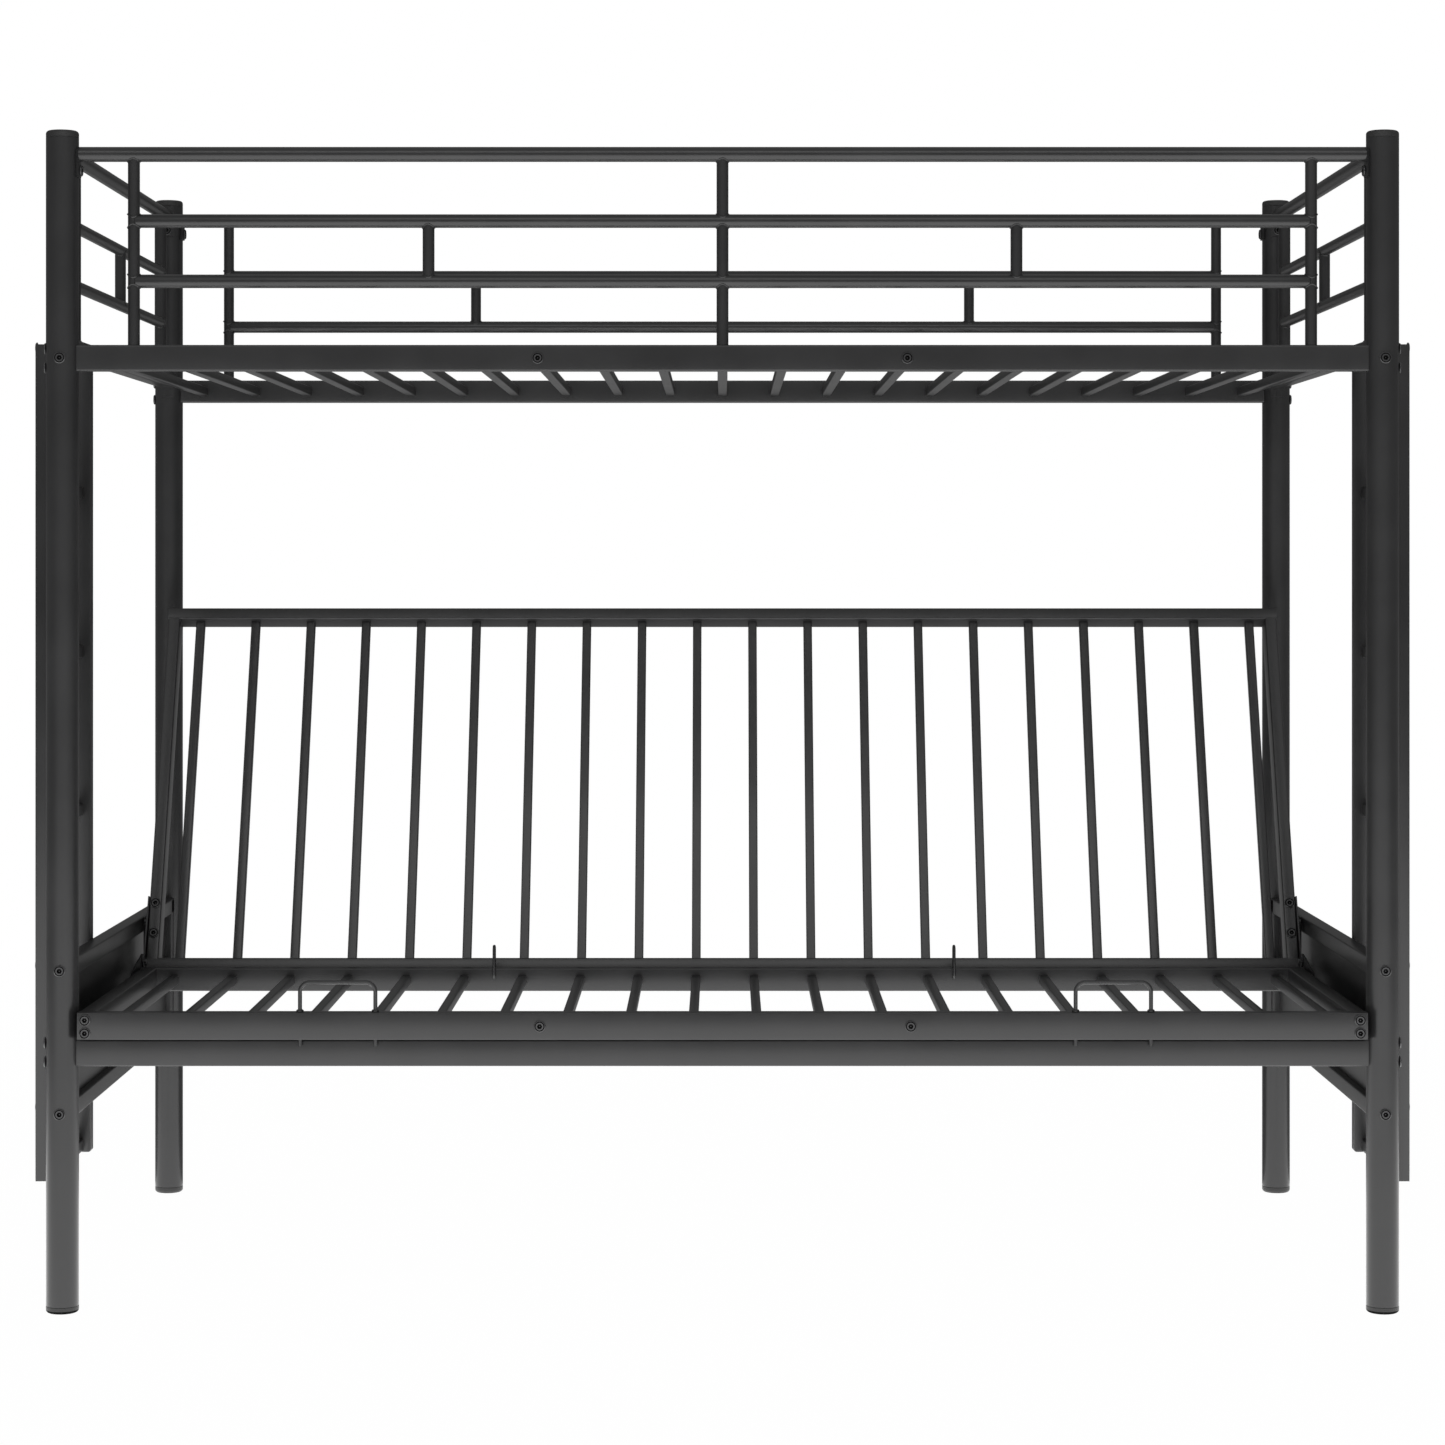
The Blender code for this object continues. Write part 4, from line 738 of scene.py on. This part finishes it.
BACK_BOLT_HEIGHTS = (0.062, 0.113)
BOLT_METALLIC = 0.35
RECESS_SPECULAR = 0.05
bolt_steel = coated("dark_bolt_steel", colour=(0.040, 0.040, 0.041), roughness=(0.24, 0.34),
                    grain=900, depth=0.00004)
bolt_shader = bolt_steel.node_tree.nodes["Principled BSDF"]
bolt_shader.inputs["Metallic"].default_value = BOLT_METALLIC
# Painted shade: the near-black colour and the low specular below darken the groove and the socket
# of each head as if shade lay in them.
recess_painted_shade = coated("painted_shade_black", colour=(0.001, 0.001, 0.001), roughness=(0.60, 0.70),
                grain=900, depth=0.00002)
recess_shader = recess_painted_shade.node_tree.nodes["Principled BSDF"]
recess_shader.inputs["Specular IOR Level"].default_value = RECESS_SPECULAR


def bolt_head():
    """One head at the origin: it sits on the plane of X and Y and faces +Z."""
    mesh = bmesh.new()
    hexagon = []
    for i in range(HEAD_SEGMENTS):
        angle = 2 * math.pi * i / HEAD_SEGMENTS
        off = (angle % (math.pi / 3)) - math.pi / 6
        wide = SOCKET_FLAT / math.cos(off)
        hexagon.append((wide * math.cos(angle), wide * math.sin(angle)))
    sunk = HEAD_HEIGHT - GROOVE_DEPTH
    bottom = HEAD_HEIGHT - SOCKET_DEPTH
    profile = ((HEAD_RADIUS, 0), (HEAD_RADIUS, HEAD_HEIGHT - HEAD_EDGE),
               (HEAD_RADIUS - HEAD_EDGE, HEAD_HEIGHT), (GROOVE_OUTER, HEAD_HEIGHT),
               (GROOVE_OUTER, sunk), (GROOVE_INNER, sunk), (GROOVE_INNER, HEAD_HEIGHT))
    levels = [(round_section(radius, HEAD_SEGMENTS), height) for radius, height in profile]
    levels += [(hexagon, HEAD_HEIGHT), (hexagon, bottom)]
    levels.append((round_section(DRILL_MARK, HEAD_SEGMENTS), bottom))
    capped(mesh, [ring(mesh, Z_AXIS * height, X_AXIS, Y_AXIS, section)
                  for section, height in levels])
    bmesh.ops.recalc_face_normals(mesh, faces=mesh.faces)
    # The faces of the groove and of the socket, all but the small disc at the socket's bottom, take
    # the painted shade.
    for face in mesh.faces:
        middle = face.calc_center_median()
        far = math.hypot(middle.x, middle.y)
        in_groove = GROOVE_INNER <= far <= GROOVE_OUTER and middle.z < HEAD_HEIGHT
        in_socket = DRILL_MARK < far < GROOVE_INNER and 0 < middle.z < HEAD_HEIGHT
        face.material_index = int(in_groove or in_socket)
    data = bpy.data.meshes.new("bolt_head_pattern")
    mesh.to_mesh(data)
    mesh.free()
    data.materials.append(bolt_steel)
    data.materials.append(recess_painted_shade)
    return bpy.data.objects.new("bolt_head_pattern", data)


def bolt_tree():
    """Geometry Nodes: a copy of the head on each point, turned to its direction."""
    tree = bpy.data.node_groups.new("heads_on_points", "GeometryNodeTree")
    face = tree.interface
    face.new_socket(name="Points", in_out="INPUT", socket_type="NodeSocketGeometry")
    head_socket = face.new_socket(name="Head", in_out="INPUT", socket_type="NodeSocketObject")
    face.new_socket(name="Geometry", in_out="OUTPUT", socket_type="NodeSocketGeometry")
    nodes, links = tree.nodes, tree.links
    given = nodes.new("NodeGroupInput")
    made = nodes.new("NodeGroupOutput")
    head = nodes.new("GeometryNodeObjectInfo")
    facing = nodes.new("GeometryNodeInputNamedAttribute")
    facing.data_type = "FLOAT_VECTOR"
    facing.inputs["Name"].default_value = "facing"
    turn = nodes.new("FunctionNodeAlignRotationToVector")
    turn.axis = "Z"
    placed = nodes.new("GeometryNodeInstanceOnPoints")
    real = nodes.new("GeometryNodeRealizeInstances")
    links.new(given.outputs["Head"], head.inputs["Object"])
    links.new(facing.outputs["Attribute"], turn.inputs["Vector"])
    links.new(given.outputs["Points"], placed.inputs["Points"])
    links.new(head.outputs["Geometry"], placed.inputs["Instance"])
    links.new(turn.outputs["Rotation"], placed.inputs["Rotation"])
    links.new(placed.outputs["Instances"], real.inputs["Geometry"])
    links.new(real.outputs["Geometry"], made.inputs["Geometry"])
    return tree, {"Head": head_socket.identifier}


def bolted(name, places, body, nodes):
    """Heads of one body, from the points under them and the ways that they face."""
    data = bpy.data.meshes.new(name + "_points")
    data.from_pydata([p for p, _ in places], [], [])
    facing = data.attributes.new("facing", "FLOAT_VECTOR", "POINT")
    for i, (_, way) in enumerate(places):
        facing.data[i].vector = way
    piece = grown(name, data, heads, head_ids, {"Head": pattern})
    carried(piece, body, nodes)


pattern = bolt_head()
bpy.context.scene.collection.objects.link(pattern)
heads, head_ids = bolt_tree()
frame_heads = []
post_wall = POST_RADIUS + COPE_GAP
tab_face = post_wall + TAB_THICKNESS
ladder_seat = LADDER_INNER + STILE_WIDTH + LADDER_HEAD_PROUD - HEAD_HEIGHT
for _, y in ENDS:
    for _, x in SIDES:
        out_x, out_y = X_AXIS * x, Y_AXIS * y
        for axis in (LOWER_RAIL_AXIS, UPPER_RAIL_AXIS):
            for half in (-RAIL_BOLT_HALF, RAIL_BOLT_HALF):
                place = at(x * POST_X, y * POST_Y, axis + half)
                frame_heads.append((place + out_x * post_wall, out_x))
        for height in END_BOLT_HEIGHTS:
            place = at(x * POST_X, y * POST_Y, height)
            frame_heads.append((place + out_y * post_wall, out_y))
        for height, out in ((SIDE_TAB_BOLT, out_x), (END_TAB_BOLT, out_y)):
            place = at(x * POST_X, y * POST_Y, height)
            frame_heads.append((place - out * tab_face, -out))
        rail_face = POST_Y + RAIL_THICKNESS / 2 + COPE_GAP
        frame_heads.append((at(x * MIDDLE_BOLT, y * rail_face, UPPER_RAIL_AXIS), out_y))
for _, x in SIDES:
    for y in STILES:
        for height in (*END_BOLT_HEIGHTS[:2], END_RAIL_AXIS):
            frame_heads.append((at(x * ladder_seat, y, height), X_AXIS * x))
bolted("frame_bolt_heads", frame_heads, "frame",
       [f"deck_bolt_{e}_{s}" for e, _ in ENDS for s, _ in SIDES])
seat_heads = []
seat_face = SEAT_FRONT - COPE_GAP
for _, x in SIDES:
    for drop in CORNER_SCREW_DROPS:
        place = at(x * (SEAT_HALF_WIDTH - CORNER_SCREW_IN), seat_face, SEAT_TOP - drop)
        seat_heads.append((place, -Y_AXIS))
    seat_heads.append((at(FUTON_SHIFT + x * MIDDLE_BOLT, seat_face, rail_z), -Y_AXIS))
bolted("seat_bolt_heads", seat_heads, "seat",
       [f"seat_screw_{s}_{v}" for s, _ in SIDES for v in ("upper", "lower")]
       + [f"seat_middle_bolt_{s}" for s, _ in SIDES])
back_heads = [(on_back(x * (BACK_HALF_WIDTH - BACK_TUBE / 2), up, -COPE_GAP), -BACK_OUT)
              for _, x in SIDES for up in BACK_BOLT_HEIGHTS]
bolted("back_bolt_heads", back_heads, "back",
       [f"back_bolt_{s}_{v}" for s, _ in SIDES for v in ("lower", "upper")])
bpy.data.objects.remove(pattern)

# Hinge, runners, stops, glides and sheets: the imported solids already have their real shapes, so
# they stay as they are and only take the finish of the bed.
for name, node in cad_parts.items():
    if node.hide_render:
        continue
    finish = plastic if "glide" in name else bolt_steel if "pin" in name else steel_coat
    node.data.materials.clear()
    node.data.materials.append(finish)

# Floor: a matte grey plane for the light that bounces up from it. The camera sees it as white
# paper, with no more than a trace of the bed's shadow, which fades out farther from the bed.
FLOOR_HALF = 40
FLOOR_GREY = 0.62
FLOOR_ROUGHNESS = 0.9
FLOOR_SPECULAR = 0.1
FADE_DISTANCES = (1.2, 5.0)
WHITE_SHARES = (0.992, 1.0)
corners = [(x * FLOOR_HALF, y * FLOOR_HALF, 0) for x, y in ((-1, -1), (1, -1), (1, 1), (-1, 1))]
floor_data = bpy.data.meshes.new("floor")
floor_data.from_pydata(corners, [], [(0, 1, 2, 3)])
floor = bpy.data.objects.new("floor", floor_data)
bpy.context.scene.collection.objects.link(floor)
pale = bpy.data.materials.new("pale_floor")
pale.use_nodes = True
nodes, links = pale.node_tree.nodes, pale.node_tree.links
pale_shader = nodes["Principled BSDF"]
pale_shader.inputs["Base Color"].default_value = (FLOOR_GREY, FLOOR_GREY, FLOOR_GREY, 1)
pale_shader.inputs["Roughness"].default_value = FLOOR_ROUGHNESS
pale_shader.inputs["Specular IOR Level"].default_value = FLOOR_SPECULAR
white = nodes.new("ShaderNodeEmission")
seen = nodes.new("ShaderNodeLightPath")
spot = nodes.new("ShaderNodeTexCoord")
far = nodes.new("ShaderNodeVectorMath")
far.operation = "LENGTH"
fade = nodes.new("ShaderNodeMapRange")
fade.inputs["From Min"].default_value, fade.inputs["From Max"].default_value = FADE_DISTANCES
fade.inputs["To Min"].default_value, fade.inputs["To Max"].default_value = WHITE_SHARES
share = nodes.new("ShaderNodeMath")
share.operation = "MULTIPLY"
mix = nodes.new("ShaderNodeMixShader")
links.new(spot.outputs["Object"], far.inputs[0])
links.new(far.outputs["Value"], fade.inputs["Value"])
links.new(fade.outputs["Result"], share.inputs[1])
links.new(seen.outputs["Is Camera Ray"], share.inputs[0])
links.new(share.outputs["Value"], mix.inputs["Fac"])
links.new(pale_shader.outputs["BSDF"], mix.inputs[1])
links.new(white.outputs["Emission"], mix.inputs[2])
links.new(mix.outputs["Shader"], nodes["Material Output"].inputs["Surface"])
floor_data.materials.append(pale)

# Surround: white for the camera. For everything else it is dim, a little brighter in front of the
# bed than behind it and brightest overhead, so that the tubes keep their dark sides.
GLOW_IN_FRONT = 0.35
GLOW_BEHIND = 0.06
GLOW_OVERHEAD = 0.30
world = bpy.data.worlds.new("white_surround")
bpy.context.scene.world = world
world.use_nodes = True
nodes, links = world.node_tree.nodes, world.node_tree.links
backdrop = nodes["Background"]
backdrop.inputs["Color"].default_value = (1, 1, 1, 1)
path = nodes.new("ShaderNodeLightPath")
way = nodes.new("ShaderNodeTexCoord")
parts = nodes.new("ShaderNodeSeparateXYZ")
glow = nodes.new("ShaderNodeMapRange")
glow.inputs["From Min"].default_value = -1
glow.inputs["To Min"].default_value = GLOW_IN_FRONT
glow.inputs["To Max"].default_value = GLOW_BEHIND
dome = nodes.new("ShaderNodeMapRange")
dome.inputs["To Max"].default_value = GLOW_OVERHEAD
both = nodes.new("ShaderNodeMath")
level = nodes.new("ShaderNodeMapRange")
links.new(way.outputs["Generated"], parts.inputs["Vector"])
links.new(parts.outputs["Y"], glow.inputs["Value"])
links.new(parts.outputs["Z"], dome.inputs["Value"])
links.new(glow.outputs["Result"], both.inputs[0])
links.new(dome.outputs["Result"], both.inputs[1])
links.new(both.outputs["Value"], level.inputs["To Min"])
links.new(path.outputs["Is Camera Ray"], level.inputs["Value"])
links.new(level.outputs["Result"], backdrop.inputs["Strength"])

# Lights: a wide bright card that lies on the floor in front of the bed and lays the long bands on
# rails and tubes, and a narrow strip high above the camera. Each has a place, an aim, a size in
# metres and a power in watts, and neither shows in the picture itself.
FLOOR_CARD = ("floor_card", (0, -2.68, 0.001), (0, -2.68, 3), (6.0, 6.5), 239)
HIGH_LIGHT = ("high_light", (0, -3.6, 3.8), (0, 0, 1.0), (5.0, 0.9), 32)
for name, place, aim, size, power in (FLOOR_CARD, HIGH_LIGHT):
    lamp = bpy.data.lights.new(name, "AREA")
    lamp.shape = "RECTANGLE"
    lamp.size, lamp.size_y = size
    lamp.energy = power
    stand = bpy.data.objects.new(name, lamp)
    stand.location = place
    stand.rotation_euler = (Vector(aim) - Vector(place)).to_track_quat("-Z", "Y").to_euler()
    stand.visible_camera = False
    bpy.context.scene.collection.objects.link(stand)

# Camera: level in front of the bed's middle with a long lens, shifted down to take in the feet,
# as in the photograph.
CAMERA_DISTANCE = 5.704
CAMERA_HEIGHT = 1.0974
CAMERA_LENS = 88.2
CAMERA_SHIFT = -0.1089
CAMERA_SENSOR = 36
camera_data = bpy.data.cameras.new("camera")
camera_data.lens = CAMERA_LENS
camera_data.sensor_width = CAMERA_SENSOR
camera_data.shift_y = CAMERA_SHIFT
camera = bpy.data.objects.new("camera", camera_data)
camera.location = at(0, -CAMERA_DISTANCE, CAMERA_HEIGHT)
camera.rotation_euler = (math.pi / 2, 0, 0)
bpy.context.scene.collection.objects.link(camera)
bpy.context.scene.camera = camera
bpy.context.scene.view_settings.view_transform = "Standard"
